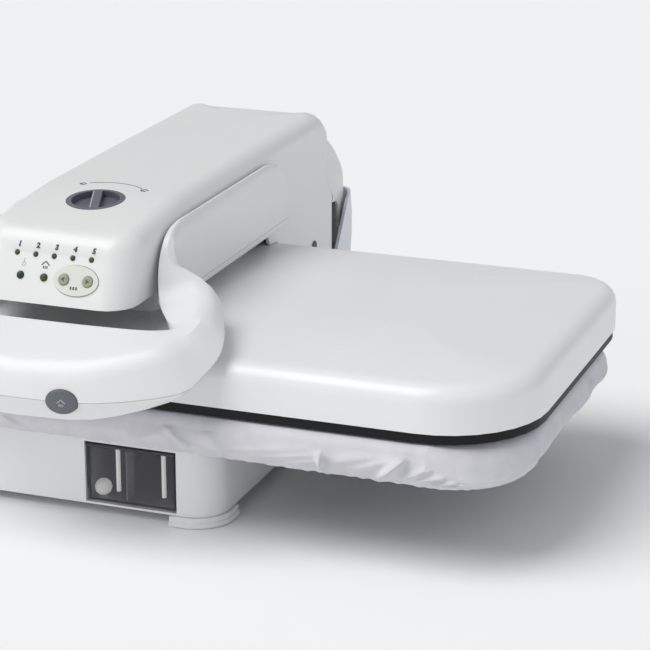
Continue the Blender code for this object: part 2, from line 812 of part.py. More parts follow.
def lamp_places():
    """Each lamp's place and radius: the row of small ones, then the two larger ones."""
    for index in range(LAMP_COUNT):
        x = (index - (LAMP_COUNT - 1) / 2) * LAMP_PITCH
        yield panel_point(x, LAMP_HEIGHT), LAMP_RADIUS
    for index in range(2):
        yield panel_point(STATUS_X + index * STATUS_PITCH, STATUS_HEIGHT), STATUS_RADIUS


def lens(place, radius):
    """A domed lens with its flange behind the panel's wall."""
    flange = -WALL - 4 * FIT
    profile = (
        (radius * 1.3, flange - radius),
        (radius * 1.3, flange),
        (radius, flange),
        (radius, 0),
        (radius * 0.8, radius * 0.45),
        (radius * 0.35, radius * 0.62),
    )
    return turned(profile, place, PANEL_OUT, 10)


def lamps():
    places = list(lamp_places())
    row = places[:LAMP_COUNT]
    middle, radius = row[LAMP_COUNT // 2]
    # One moulded light guide carries the row of small lenses.
    flange = -WALL - 4 * FIT
    half = (LAMP_COUNT - 1) / 2 * LAMP_PITCH + 2 * radius
    up = Vector((1, 0, 0)).cross(PANEL_OUT)
    bow = HEAD_BOW * (half / ARM_HALF) ** 2
    rings = []
    for along in (flange - bow, flange - bow - radius):
        rings.append(
            [
                middle + Vector((x * half, 0, 0)) + up * rise * radius * 1.6 + PANEL_OUT * along
                for x, rise in ((-1, -1), (1, -1), (1, 1), (-1, 1))
            ]
        )
    made = solid("fabric_lamps", skin(rings), "lamp")
    add(made, *[lens(place, size) for place, size in row])
    solid("power_lamp", lens(*places[LAMP_COUNT]), "lamp_green")
    solid("steam_lamp", lens(*places[LAMP_COUNT + 1]), "lamp")


def keypad_form(inner, outer, spread):
    """An oval plug square to the panel."""
    centre = panel_point(KEYPAD_X, KEYPAD_HEIGHT)
    up = Vector((1, 0, 0)).cross(PANEL_OUT)
    rings = []
    for along in (inner, outer):
        ring = []
        for step in range(28):
            angle = 2 * pi * step / 28
            across = (KEYPAD_HALF_LENGTH + spread) * cos(angle)
            rise = (KEYPAD_HALF_HEIGHT + spread) * sin(angle)
            ring.append(centre + Vector((across, 0, 0)) + up * rise + PANEL_OUT * along)
        rings.append(ring)
    return skin(rings)


def key_place(side):
    return panel_point(KEYPAD_X + side * KEY_SPACING / 2, KEYPAD_HEIGHT)


def keypad():
    made = solid("keypad_bezel", keypad_form(-WALL, KEYPAD_PROUD, 0), "keypad")
    cut(made, *[panel_rod(key_place(side), KEY_RADIUS + FIT, -2 * WALL, OVERRUN, 16) for side in (-1, 1)])
    for side, name in ((-1, "key_left"), (1, "key_right")):
        place = key_place(side)
        back = -BOARD_BEHIND + 2 * KEY_TRAVEL
        profile = (
            (KEY_RADIUS * 0.5, back),
            (KEY_RADIUS * 0.5, -WALL),
            (KEY_RADIUS, -WALL),
            (KEY_RADIUS, KEYPAD_PROUD + KEY_PROUD * 0.6),
            (KEY_RADIUS * 0.75, KEYPAD_PROUD + KEY_PROUD),
        )
        solid(name, turned(profile, place, PANEL_OUT, 18), "key", pivot=place)


def control_board():
    """The circuit board behind the panel, on two bosses of the arm's cover."""
    centre = panel_point(0, (LAMP_HEIGHT + STATUS_HEIGHT) / 2) - PANEL_OUT * BOARD_BEHIND
    up = Vector((1, 0, 0)).cross(PANEL_OUT)
    ring = []
    for x, rise in ((-1, -1), (1, -1), (1, 1), (-1, 1)):
        ring.append(
            centre + Vector((x * CIRCUIT_LENGTH / 2, 0, 0)) + up * rise * CIRCUIT_HEIGHT / 2
        )
    back = [point - PANEL_OUT * CIRCUIT_THICKNESS for point in ring]
    solid("control_board", skin([ring, back]), "circuit")


def dial():
    """The flush dial, square to the arm's falling top, its shaft and the steam valve."""
    pivot = DIAL_PLACE - DIAL_OUT * DIAL_DEPTH
    edge = DIAL_RADIUS
    profile = (
        (DIAL_SHAFT_RADIUS, -DIAL_DEPTH),
        (DIAL_SHAFT_RADIUS, 0),
        (edge, 0),
        (edge, DIAL_DEPTH - FIT),
        (edge - DIAL_BAR_HALF / 2, DIAL_DEPTH),
    )
    knob = solid("dial_knob", turned(profile, pivot, DIAL_OUT, 32), "slate", pivot=pivot)
    scoops = []
    scoop = edge - DIAL_BAR_HALF
    angle = 90 - degrees_of(asin(DIAL_BAR_HALF / scoop))
    for middle in (DIAL_REST_TURN, DIAL_REST_TURN + 180):
        rings = []
        for along in (-DIAL_DEPTH * DIAL_SCOOP_SHARE, OVERRUN):
            centre = DIAL_PLACE + DIAL_OUT * along
            rings.append(
                [
                    centre + Vector((x, 0, 0)) + DIAL_ALONG * y
                    for x, y in arc((0, 0), scoop, middle - angle, middle + angle, 10)
                ]
            )
        scoops.append(skin(rings))
    cut(knob, *scoops)
    valve_top = pivot - DIAL_OUT * (DIAL_DEPTH + FIT)
    profile = (
        (VALVE_RADIUS, -VALVE_HEIGHT),
        (VALVE_RADIUS, -WALL),
        (VALVE_RADIUS * 0.6, 0),
    )
    solid("dial_valve", turned(profile, valve_top, DIAL_OUT, 20), "brass")


def degrees_of(angle):
    return angle * 180 / pi


def seam_line(low, high, gap=0.0):
    """Where the arm's side plates end and its round back begins, from low to high."""
    bend = HINGE_HEIGHT + SEAM_BEND
    behind, ahead = HINGE_Y + SEAM_BEHIND + gap, HINGE_Y + SEAM_AHEAD + gap
    return [(behind, low), (behind, bend), (ahead, bend + SEAM_SLOPE), (ahead, high)]


def arm_rear_cover():
    """The round back of the arm, swept about the hinge: flush above and set in below."""
    def band(inset, flush):
        half = REAR_HALF + (ARM_HALF - REAR_HALF) * flush - inset
        top = REAR_RADIUS - inset
        low = REAR_RADIUS - REAR_FLANGE - (REAR_FLANGE_HIGH - REAR_FLANGE) * flush
        round_off = REAR_EDGE_ROUND - inset
        right = [(half, low), *arc((half - round_off, top - round_off), round_off, 0, 90, 4)]
        return right + [(-x, radius) for x, radius in reversed(right)]

    first, last = REAR_FLUSH_ANGLES
    rings = []
    for step in range(REAR_STEPS + 1):
        degrees = REAR_LOW_ANGLE + (REAR_TOP_ANGLE - REAR_LOW_ANGLE) * step / REAR_STEPS
        share = min(max((degrees - first) / (last - first), 0), 1)
        flush = share * share * (3 - 2 * share)
        angle = radians(degrees)
        rings.append(
            [
                Vector((x, HINGE_Y + radius * cos(angle), HINGE_HEIGHT + radius * sin(angle)))
                for x, radius in band(0, flush) + band(WALL, flush)[::-1]
            ]
        )
    made = solid("arm_rear_cover", skin(rings), "white_shell")
    wide = ARM_HALF + OVERRUN
    low = HINGE_HEIGHT - REAR_RADIUS
    before_seam = [(HINGE_Y, low), *seam_line(low, ARM_TOP, FIT), (HINGE_Y, ARM_TOP)]
    over = box((-wide, HINGE_Y, NOTCH_HEIGHT - FIT), (wide, SIDE_REAR, ARM_TOP))
    cut(made, prism_x(before_seam, -wide, wide), over)


def chassis_outline():
    """One steel cheek of the arm, from the head back and down to the hinge eye."""
    front = PLATE_FRONT + CHASSIS_FRONT
    low = CHASSIS_BOTTOM
    step = PLATE_REAR + 2 * OVERRUN
    eye = list(arc((HINGE_Y, HINGE_HEIGHT), CHASSIS_EYE, 200, 380, 8))
    return [
        (front, low),
        (step - CHEEK_AHEAD, low),
        (step, low - CHEEK_SLOPE),
        *eye,
        (HINGE_Y + CHASSIS_EYE, CHASSIS_TOP - CHEEK_AHEAD),
        (HINGE_Y - CHASSIS_EYE, CHASSIS_TOP),
        (front + CHEEK_AHEAD, CHASSIS_TOP),
        (front, CHASSIS_TOP - CHEEK_AHEAD),
    ]


def arm_chassis():
    half = CHASSIS_HALF
    made = solid("arm_chassis", prism_x(chassis_outline(), -half, half), "steel")
    inner = half - CHASSIS_SHEET
    web = CHASSIS_BOTTOM + CHASSIS_SHEET
    front = PLATE_FRONT + CHASSIS_FRONT
    rear = HINGE_Y + 2 * CHASSIS_EYE
    hollow = [
        (front - OVERRUN, web),
        (PLATE_REAR - CHEEK_AHEAD - CHEEK_SLOPE, web),
        (PLATE_REAR - CHEEK_AHEAD - CHEEK_SLOPE, CHASSIS_BOTTOM - OVERRUN),
        (PLATE_REAR, PRESS_PLANE - CHASSIS_EYE),
        (rear, PRESS_PLANE - CHASSIS_EYE),
        (rear, ARM_TOP),
        (front - OVERRUN, ARM_TOP),
    ]
    wide = half + OVERRUN
    cut(
        made,
        prism_x(hollow, -inner, inner),
        rod((-wide, HINGE_Y, HINGE_HEIGHT), (wide, HINGE_Y, HINGE_HEIGHT), AXLE_RADIUS + FIT, 16),
        rod(
            (-wide, LEVER_Y, LEVER_HEIGHT),
            (wide, LEVER_Y, LEVER_HEIGHT),
            SHAFT_RADIUS + BUSH_WALL + 2 * FIT,
            16,
        ),
    )


def hinge():
    """The axle with its end caps, the fixed bracket with its bushes, and two wound springs."""
    at = (HINGE_Y, HINGE_HEIGHT)
    half = ARM_HALF - WALL - FIT
    solid("hinge_axle", rod((-half, *at), (half, *at), AXLE_RADIUS, 16), "steel")
    for side, name in SIDES:
        profile = (
            (CAP_RADIUS - CAP_HEAD - FIT, -WALL),
            (CAP_RADIUS - CAP_HEAD - FIT, FIT),
            (CAP_RADIUS, FIT),
            (CAP_RADIUS, CAP_HEAD * 0.6),
            (CAP_RADIUS * 0.7, CAP_HEAD),
        )
        body = turned(profile, (side * ARM_HALF, *at), (side, 0, 0), 20)
        solid(f"axle_cap_{name}", body, "rubber")
    floor = BASE_FLOOR + SHEET + FIT
    span = BRACKET_LENGTH / 2
    outline = [
        (HINGE_Y - span, floor),
        (HINGE_Y + span, floor),
        (HINGE_Y + span, floor + BRACKET_EYE),
        *arc(at, BRACKET_EYE, 10, 170, 8),
        (HINGE_Y - span, floor + BRACKET_EYE),
    ]
    made = solid("hinge_bracket", prism_x(outline, -BRACKET_HALF, BRACKET_HALF), "steel")
    inner = BRACKET_HALF - BRACKET_SHEET
    low = floor + BRACKET_SHEET
    hollow = box(
        (-inner, HINGE_Y - span - OVERRUN, low), (inner, HINGE_Y + span + OVERRUN, ARM_TOP)
    )
    bore = AXLE_RADIUS + BUSH_WALL + 2 * FIT
    wide = BRACKET_HALF + OVERRUN
    cut(made, hollow, rod((-wide, *at), (wide, *at), bore, 20))
    for side, name in SIDES:
        start = (side * (inner - BUSH_WALL), *at)
        end = (side * (CHASSIS_HALF - CHASSIS_SHEET - FIT), *at)
        body = sleeve(start, end, AXLE_RADIUS + BUSH_WALL + FIT, AXLE_RADIUS + FIT)
        solid(f"hinge_bush_{name}", body, "slate")
        coil(f"counter_spring_{name}", side)


def coil(name, side):
    """A wound spring round the axle, between the bracket's two cheeks."""
    points_per_turn = 8
    pitch = 3 * SPRING_WIRE
    start = side * (BRACKET_HALF - BRACKET_SHEET - BUSH_WALL - 2 * SPRING_WIRE)
    route = []
    for step in range(SPRING_TURNS * points_per_turn + 1):
        angle = 2 * pi * step / points_per_turn
        x = start - side * pitch * step / points_per_turn
        y = HINGE_Y + SPRING_RADIUS * cos(angle)
        z = HINGE_HEIGHT + SPRING_RADIUS * sin(angle)
        route.append((x, y, z))
    # The tail runs straight down to the bracket's floor.
    foot = BASE_FLOOR + SHEET + BRACKET_SHEET + 2 * FIT
    x, y, z = route[-1]
    route += [(x, y, z - SPRING_RADIUS), (x, y, foot)]
    tube(name, route, SPRING_WIRE, "steel", detail=1)


def rear_housing():
    """The fixed fairing round the back of the arm, open above and in front."""
    def outline(inset, z):
        reach = sqrt(FAIRING_RADIUS**2 - (z - HINGE_HEIGHT) ** 2)
        return rounded(FAIRING_HALF, HINGE_Y, HINGE_Y + reach, FAIRING_CORNER, 6, inset)

    def levels(inset, low, high, steps):
        heights = [low + (high - low) * step / steps for step in range(steps + 1)]
        return [level(outline(inset, z), z) for z in heights]

    low = BASE_TOP + FIT
    made = solid("rear_housing", skin(levels(0, low, FAIRING_TOP, 4)), "white_shell")
    inside = skin(levels(WALL, low - OVERRUN, FAIRING_TOP + OVERRUN, 4))
    wide = FAIRING_HALF + OVERRUN
    foot = HINGE_Y + FAIRING_FOOT
    high = FAIRING_TOP + OVERRUN
    front = [
        (HINGE_Y - OVERRUN, low - OVERRUN),
        (foot - OVERRUN, low - OVERRUN),
        (foot, FAIRING_STEP),
        (foot + FAIRING_SLOPE, FAIRING_TOP - 2 * WALL),
        (foot + FAIRING_SLOPE + FAIRING_LIP, FAIRING_TOP),
        (foot + FAIRING_SLOPE + FAIRING_LIP, high),
        (HINGE_Y - OVERRUN, high),
    ]
    cut(made, inside, prism_x(front, -wide, wide))


def bow_point(u, v, w):
    """A point of the bow from shares: u across (1 is the strap, 2 the widest), v back, w up."""
    if u <= 1:
        x = u * STRAP_IN
    else:
        x = STRAP_IN + (u - 1) * (BOW_HALF - STRAP_IN)
    return Vector((x, PLATE_FRONT + v * HANDLE_REACH, GRIP_BOTTOM + w * (STRAP_TOP - GRIP_BOTTOM)))


# Each section of the bow, from the strap to the middle of the grip: its inner top edge, its
# ridge, its parting line, its outer bottom edge and its inner bottom edge.
BOW_SHARES = (
    (
        (1.000, 1.547, 1.000), (1.099, 1.509, 0.986), (1.095, 1.698, 0.546),
        (1.095, 1.679, 0.495), (1.000, 1.623, 0.495),
    ),
    (
        (1.003, 1.264, 0.975), (1.129, 1.170, 0.938), (1.112, 1.509, 0.547),
        (1.105, 1.472, 0.495), (1.007, 1.396, 0.495),
    ),
    (
        (1.011, 1.057, 0.917), (1.151, 1.085, 0.872), (1.154, 1.396, 0.550),
        (1.140, 1.340, 0.491), (1.021, 1.245, 0.491),
    ),
    (
        (1.025, 0.906, 0.835), (1.224, 1.057, 0.803), (1.245, 1.302, 0.558),
        (1.217, 1.245, 0.486), (1.049, 1.113, 0.486),
    ),
    (
        (1.049, 0.783, 0.743), (1.357, 1.038, 0.771), (1.413, 1.208, 0.569),
        (1.371, 1.132, 0.482), (1.105, 0.962, 0.482),
    ),
    (
        (1.084, 0.679, 0.642), (1.497, 1.009, 0.725), (1.608, 1.057, 0.583),
        (1.552, 0.981, 0.477), (1.175, 0.811, 0.472),
    ),
    (
        (1.161, 0.566, 0.569), (1.594, 0.774, 0.670), (1.720, 0.811, 0.564),
        (1.664, 0.736, 0.463), (1.245, 0.642, 0.459),
    ),
    (
        (1.273, 0.396, 0.541), (1.664, 0.491, 0.642), (1.825, 0.509, 0.537),
        (1.755, 0.434, 0.440), (1.315, 0.415, 0.436),
    ),
    (
        (1.399, 0.208, 0.532), (1.713, 0.189, 0.628), (1.930, 0.170, 0.495),
        (1.839, 0.113, 0.408), (1.371, 0.170, 0.404),
    ),
    (
        (1.427, 0.047, 0.532), (1.713, -0.094, 0.592), (1.948, -0.057, 0.417),
        (1.860, -0.094, 0.339), (1.371, 0.000, 0.339),
    ),
    (
        (1.287, -0.047, 0.538), (1.622, -0.321, 0.541), (1.867, -0.264, 0.330),
        (1.783, -0.283, 0.257), (1.259, -0.113, 0.257),
    ),
    (
        (1.007, -0.094, 0.541), (1.427, -0.623, 0.472), (1.699, -0.585, 0.239),
        (1.608, -0.528, 0.161), (1.035, -0.189, 0.156),
    ),
    (
        (0.471, -0.113, 0.541), (0.807, -0.877, 0.385), (0.941, -0.934, 0.177),
        (0.908, -0.792, 0.028), (0.538, -0.264, 0.046),
    ),
    (
        (0.000, -0.113, 0.541), (0.000, -0.953, 0.349), (0.000, -1.000, 0.168),
        (0.000, -0.858, 0.005), (0.000, -0.283, 0.028),
    ),
)
STRAP_ROUND_SHARES = (0.0, 0.12, 0.35, 0.65, 1.0)
# How far down the inner side the parting line may come, from the top.
SEAM_SHARES = (0.2, 0.9)


def strap_sections():
    """The straight strap, from its rounded rear end to the start of the bow."""
    sections = []
    radius = STRAP_TOP - LEVER_HEIGHT
    lip = STRAP_BOTTOM + STRAP_LIP
    stations = []
    for share in STRAP_ROUND_SHARES:
        angle = share * pi / 2
        y = LEVER_Y + STRAP_BEHIND - STRAP_END_LENGTH * (1 - cos(angle))
        stations.append((y, LEVER_HEIGHT + radius * sin(angle)))
    middle = (LEVER_Y + STRAP_FRONT) / 2
    stations += [(middle, STRAP_TOP), (STRAP_FRONT, STRAP_TOP)]
    for y, top in stations:
        inner, ridge = Vector((STRAP_IN, y, top)), Vector((STRAP_OUT, y, top))
        parting = Vector((STRAP_OUT, y, lip))
        outer_low = Vector((STRAP_OUT, y, STRAP_BOTTOM))
        inner_low = Vector((STRAP_IN, y, STRAP_BOTTOM))
        sections.append((inner, ridge, parting, outer_low, inner_low))
    return sections


def bow_sections():
    """Sections from the right strap's rear end, round the grip, to the left strap's."""
    straps = strap_sections()
    right = straps + [[bow_point(*corner) for corner in section] for section in BOW_SHARES]
    rails = [smooth_route([section[corner] for section in right], BOW_STEPS) for corner in range(5)]
    smoothed = list(zip(*rails))
    straight = BOW_STEPS * (len(straps) - 1)
    half = smoothed[:straight:BOW_STEPS] + smoothed[straight:]
    flip = Matrix.Scale(-1, 4, (1, 0, 0))
    other = [[flip @ corner for corner in section] for section in half[-2::-1]]
    return half + other


def eased(before, corner, after, radius, steps=2):
    """A corner softened with a short curve."""
    into = (before - corner).normalized() * min(radius, (before - corner).length / 2.2)
    out = (after - corner).normalized() * min(radius, (after - corner).length / 2.2)
    for step in range(steps + 1):
        t = step / steps
        yield corner + into * (1 - t) ** 2 + out * t * t


def handle():
    """The lever handle: two moulded halves that meet on the parting line."""
    upper, lower = [], []
    for inner, ridge, seam_out, outer_low, inner_low in bow_sections():
        share = (inner.z - seam_out.z) / (inner.z - inner_low.z)
        seam_in = inner.lerp(inner_low, min(max(share, SEAM_SHARES[0]), SEAM_SHARES[1]))
        upper.append(
            [
                seam_in,
                *eased(seam_in, inner, ridge, RIM_ROUND),
                *eased(inner, ridge, seam_out, RIDGE_ROUND),
                seam_out,
            ]
        )
        drop = (outer_low - ridge).normalized() * FIT
        lower.append(
            [
                seam_in + drop,
                *eased(seam_in, inner_low, outer_low, LOW_ROUND),
                *eased(inner_low, outer_low, seam_out, LOW_ROUND),
                seam_out + drop,
            ]
        )
    pivot = (0, LEVER_Y, LEVER_HEIGHT)
    top = solid("handle_upper", skin(upper, split=True), "white_shell", pivot=pivot)
    bottom = solid("handle_lower", skin(lower, split=True), "white_shell", pivot=pivot)
    pocket = BUTTON_LENGTH + BUTTON_TRAVEL + DOME_RADIUS / 2
    for half in (top, bottom):
        cut(half, skin([button_ring(-pocket, FIT), button_ring(2 * OVERRUN, FIT)]))
    for side in (-1, 1):
        start = (side * (STRAP_IN - OVERRUN), LEVER_Y, LEVER_HEIGHT)
        end = (side * (STRAP_OUT - 2 * CAP_HEAD), LEVER_Y, LEVER_HEIGHT)
        cut(top, rod(start, end, SHAFT_RADIUS + FIT, 16))
    reach = STRAP_OUT - 2 * CAP_HEAD - FIT
    solid(
        "handle_shaft",
        rod((-reach, LEVER_Y, LEVER_HEIGHT), (reach, LEVER_Y, LEVER_HEIGHT), SHAFT_RADIUS, 16),
        "steel",
        pivot=pivot,
    )
    for side, name in SIDES:
        start = (side * (CHASSIS_HALF - CHASSIS_SHEET - BUSH_WALL), LEVER_Y, LEVER_HEIGHT)
        end = (side * (CHASSIS_HALF + BUSH_WALL), LEVER_Y, LEVER_HEIGHT)
        body = sleeve(start, end, SHAFT_RADIUS + BUSH_WALL + FIT, SHAFT_RADIUS + FIT)
        solid(f"handle_bush_{name}", body, "slate")
    crank(pivot)


def crank(pivot):
    """The lever arm on the shaft's middle that draws the press down."""
    eye = SHAFT_RADIUS + BUSH_WALL
    end = (LEVER_Y + CRANK_LENGTH, LEVER_HEIGHT)
    outline = [
        *arc((LEVER_Y, LEVER_HEIGHT), eye, 90, 270, 8),
        *arc(end, CRANK_END_RADIUS, -90, 90, 6),
    ]
    body = prism_x(outline, -CRANK_WIDTH / 2, CRANK_WIDTH / 2)
    made = solid("lever_crank", body, "steel", pivot=pivot)
    wide = CRANK_WIDTH
    cut(
        made,
        rod((-wide, LEVER_Y, LEVER_HEIGHT), (wide, LEVER_Y, LEVER_HEIGHT), SHAFT_RADIUS + FIT, 16),
        rod((-wide, *end), (wide, *end), CRANK_PIN_RADIUS, 12),
    )


def button_ring(along, spread=0.0, share=1.0):
    """The steam button's oval outline on the grip's front, moved out along its way."""
    turn = radians(BUTTON_TURN)
    out = Vector((sin(turn), -cos(turn), 0))
    across = Vector((cos(turn), sin(turn), 0))
    ring = []
    for step in range(24):
        angle = 2 * pi * step / 24
        length = (BUTTON_HALF_LENGTH + spread) * share * cos(angle)
        rise = (BUTTON_HALF_HEIGHT + spread) * share * sin(angle)
        ring.append(BUTTON_PLACE + across * length + Vector((0, 0, rise)) + out * along)
    return ring


def steam_button():
    rings = [
        button_ring(-BUTTON_LENGTH),
        button_ring(BUTTON_PROUD / 2),
        button_ring(BUTTON_PROUD * 0.85, share=0.93),
        button_ring(BUTTON_PROUD, share=0.7),
    ]
    solid("steam_button", skin(rings), "slate", pivot=BUTTON_PLACE)


def board_outline(inset, steps=6):
    half = BOARD_LENGTH / 2
    rear = BOARD_REAR_CORNER
    return rounded(
        half, BOARD_FRONT, BOARD_REAR, BOARD_CORNER, steps, inset, rear_radius=rear
    )


def along_lengths(outline):
    """Distance round the outline at each point."""
    lengths = [0.0]
    for (x0, y0), (x1, y1) in zip(outline, outline[1:]):
        lengths.append(lengths[-1] + hypot(x1 - x0, y1 - y0))
    return lengths


def dense_outline(inset, count):
    """The board's outline as evenly spaced points."""
    outline = board_outline(inset, 8)
    outline.append(outline[0])
    lengths = along_lengths(outline)
    total = lengths[-1]
    points = []
    index = 0
    for step in range(count):
        target = total * step / count
        while lengths[index + 1] < target:
            index += 1
        share = (target - lengths[index]) / (lengths[index + 1] - lengths[index])
        (x0, y0), (x1, y1) = outline[index], outline[index + 1]
        points.append((x0 + (x1 - x0) * share, y0 + (y1 - y0) * share))
    return points


COVER_POINTS = 84
# The cover's outside from the top's edge to the tucked hem: inward share of the roll, drop
# share of the side's height, and how far the gathers show there.
COVER_SIDE_SHARES = (
    (1.0, 0.0, 0.0),
    (0.30, 0.06, 0.15),
    (0.0, 0.22, 0.5),
    (-0.25, 0.55, 0.9),
    (0.05, 0.85, 1.0),
    (0.8, 1.0, 0.7),
)


def cover_ring(inset, z, fold):
    ring = []
    centre = Vector((0, (BOARD_FRONT + BOARD_REAR) / 2, z))
    for index, (x, y) in enumerate(dense_outline(inset, COVER_POINTS)):
        place = Vector((x, y, z))
        away = (place - centre).normalized()
        angle = 2 * pi * index / COVER_POINTS
        gather = cos(COVER_FOLDS * angle) + 0.4 * sin(7 * angle + 1)
        ring.append(place + away * gather * fold * COVER_FOLD / 2)
    return ring


def board_cover():
    roll = COVER_BULGE * 3
    height = COVER_TOP - COVER_HEM
    rings = [cover_ring(BOARD_DEPTH / 2 - BOARD_CORNER / 2, COVER_TOP, 0)]
    for inward, drop, fold in COVER_SIDE_SHARES:
        rings.append(cover_ring(inward * roll + COVER_FOLD, COVER_TOP - drop * height, fold))
    tuck = COVER_TUCK
    rings.append(cover_ring(tuck, COVER_HEM, 0.2))
    rings.append(cover_ring(tuck, COVER_HEM + COVER_THICKNESS, 0.2))
    thick = COVER_THICKNESS + COVER_FOLD
    rings.append(cover_ring(thick + COVER_FOLD, COVER_HEM + COVER_THICKNESS, 0))
    rings.append(cover_ring(thick + COVER_FOLD / 2, COVER_TOP - height * 0.5, 0))
    low = COVER_TOP - COVER_THICKNESS - roll * ROLL_SHARES[1]
    rings.append(cover_ring(thick + roll * ROLL_SHARES[0], low, 0))
    rings.append(cover_ring(thick + roll, COVER_TOP - COVER_THICKNESS, 0))
    rings.append(cover_ring(BOARD_DEPTH / 2 - BOARD_CORNER / 2, COVER_TOP - COVER_THICKNESS, 0))
    solid("board_cover", skin(rings), "fabric")


def board_pad():
    edge = COVER_THICKNESS + 4 * COVER_FOLD
    bottom = PAD_TOP - PAD_THICKNESS
    rings = [
        level(board_outline(edge), bottom),
        level(board_outline(edge), PAD_TOP - PAD_THICKNESS / 3),
        level(board_outline(edge + PAD_THICKNESS / 3), PAD_TOP),
    ]
    solid("board_pad", skin(rings), "foam")


def board_tray():
    edge = COVER_THICKNESS + COVER_FOLD + TRAY_INSET
    low = TRAY_TOP - TRAY_RIM
    outer = [level(board_outline(edge), low), level(board_outline(edge), TRAY_TOP)]
    inner = [
        level(board_outline(edge + SHEET), TRAY_TOP - SHEET),
        level(board_outline(edge + SHEET), low),
    ]
    rings = [outer[1], outer[0], inner[1], inner[0]]
    solid("board_tray", skin(rings), "steel")


def beams():
    """Two folded steel beams between the base and the tray."""
    bottom, top = BASE_TOP + FIT, TRAY_TOP - SHEET - FIT
    for side, name in ((-1, "front"), (1, "rear")):
        y = (BOARD_FRONT + BOARD_REAR) / 2 + side * BEAM_SPACING / 2
        half = BEAM_WIDTH / 2
        outline = [
            (y - half, bottom),
            (y - half + SHEET, bottom),
            (y - half + SHEET, top - SHEET),
            (y + half - SHEET, top - SHEET),
            (y + half - SHEET, bottom),
            (y + half, bottom),
            (y + half, top),
            (y - half, top),
        ]
        solid(f"board_beam_{name}", prism_x(outline, -BEAM_LENGTH / 2, BEAM_LENGTH / 2), "steel")


def base_outline(inset, steps=5):
    return rounded(BASE_WIDTH / 2, BASE_FRONT, BASE_REAR, BASE_CORNER, steps, inset)


def base_housing():
    rings = [
        level(base_outline(0), BASE_TOP),
        level(base_outline(0), BASE_FLOOR),
        level(base_outline(WALL), BASE_FLOOR),
        level(base_outline(WALL), BASE_TOP - WALL),
    ]
    made = solid("base_housing", skin(rings), "white_shell")
    tank = TANK_WIDTH / 2 + TANK_RUN
    window = box(
        (TANK_X - tank, BASE_FRONT - OVERRUN, TANK_BOTTOM - FIT),
        (TANK_X + tank, BASE_FRONT + 2 * WALL, TANK_TOP + LID_HEIGHT + 2 * FIT),
    )
    well_half = FAIRING_HALF - WALL
    well = box(
        (-well_half, HINGE_Y - WELL_AHEAD - BRACKET_LENGTH / 2, BASE_TOP - 2 * WALL),
        (well_half, BASE_REAR - WALL, BASE_TOP + OVERRUN),
    )
    inlet = rod(
        (INLET_X, BASE_REAR - 2 * WALL, INLET_HEIGHT),
        (INLET_X, BASE_REAR + OVERRUN, INLET_HEIGHT),
        INLET_RADIUS - WALL + FIT,
        20,
    )
    cut(made, window, well, inlet)


def corner_places():
    """Each of the base's round corners: its centre, its start angle and its name."""
    half = BASE_WIDTH / 2 - BASE_CORNER
    front, rear = BASE_FRONT + BASE_CORNER, BASE_REAR - BASE_CORNER
    return (
        (half, front, -90, "front_right"),
        (half, rear, 0, "rear_right"),
        (-half, rear, 90, "rear_left"),
        (-half, front, 180, "front_left"),
    )


def foot_outline(x, y, start, lip, trim=0.0):
    """A quarter-round foot that follows the base's corner, with two straight ends."""
    points = [Vector(point) for point in arc((x, y), BASE_CORNER + lip, start, start + 90, 6)]
    back = FOOT_LENGTH - BASE_CORNER - trim
    first, last = radians(start), radians(start + 90)
    across = Vector((cos(last), sin(last))) * -back
    along = Vector((cos(first), sin(first))) * -back
    inner = Vector((x, y)) + across + along
    return [points[0] + across, *points, points[-1] + along, inner]


def bottom_pan():
    """The moulded floor of the base, with its tank runners and its four stepped feet."""
    outline = base_outline(WALL + FIT)
    top = BASE_FLOOR + SHEET
    made = solid("bottom_pan", prism_z(outline, BASE_FLOOR, top), "white_shell")
    for side in (-1, 1):
        x = TANK_X + side * (TANK_WIDTH / 2 + TANK_RUN + SHEET / 2)
        low = (x - SHEET / 2, BASE_FRONT + 2 * WALL, BASE_FLOOR + SHEET / 2)
        add(made, box(low, (x + SHEET / 2, TANK_REAR, TANK_BOTTOM + RUNNER_HEIGHT)))
    edge = BASE_FLOOR - FIT
    middle = edge - FOOT_HEIGHT / 2
    neck = WALL + 2 * FIT
    for x, y, start, name in corner_places():
        lip, step = FOOT_LIP, FOOT_LIP + FOOT_STEP
        rings = [
            level(foot_outline(x, y, start, step), FOOT_CLEARANCE),
            level(foot_outline(x, y, start, step), middle - FIT),
            level(foot_outline(x, y, start, lip), middle),
            level(foot_outline(x, y, start, lip), edge),
            level(foot_outline(x, y, start, -neck, neck), edge),
            level(foot_outline(x, y, start, -neck, neck), BASE_FLOOR + SHEET / 2),
        ]
        add(made, skin(rings))
        cut(made, rod((x, y, -OVERRUN), (x, y, PAD_HEIGHT + FIT), PAD_RADIUS + FIT, 16))
        solid(f"foot_pad_{name}", rod((x, y, 0), (x, y, PAD_HEIGHT), PAD_RADIUS, 16), "rubber")


def cable_inlet():
    """The grommet that the mains cable comes in through."""
    start = (INLET_X, BASE_REAR - WALL - FIT - WALL, INLET_HEIGHT)
    profile = (
        (INLET_RADIUS, -2 * WALL - FIT),
        (INLET_RADIUS, -WALL - FIT),
        (INLET_RADIUS - WALL, -WALL - FIT),
        (INLET_RADIUS - WALL, FIT),
        (INLET_RADIUS, FIT),
        (INLET_RADIUS - WALL / 2, WALL),
    )
    body = turned(profile, (INLET_X, BASE_REAR, INLET_HEIGHT), (0, 1, 0), 20)
    made = solid("cable_inlet", body, "rubber")
    end = (INLET_X, BASE_REAR + OVERRUN, INLET_HEIGHT)
    cut(made, rod((start[0], start[1] - OVERRUN, start[2]), end, INLET_BORE, 14))


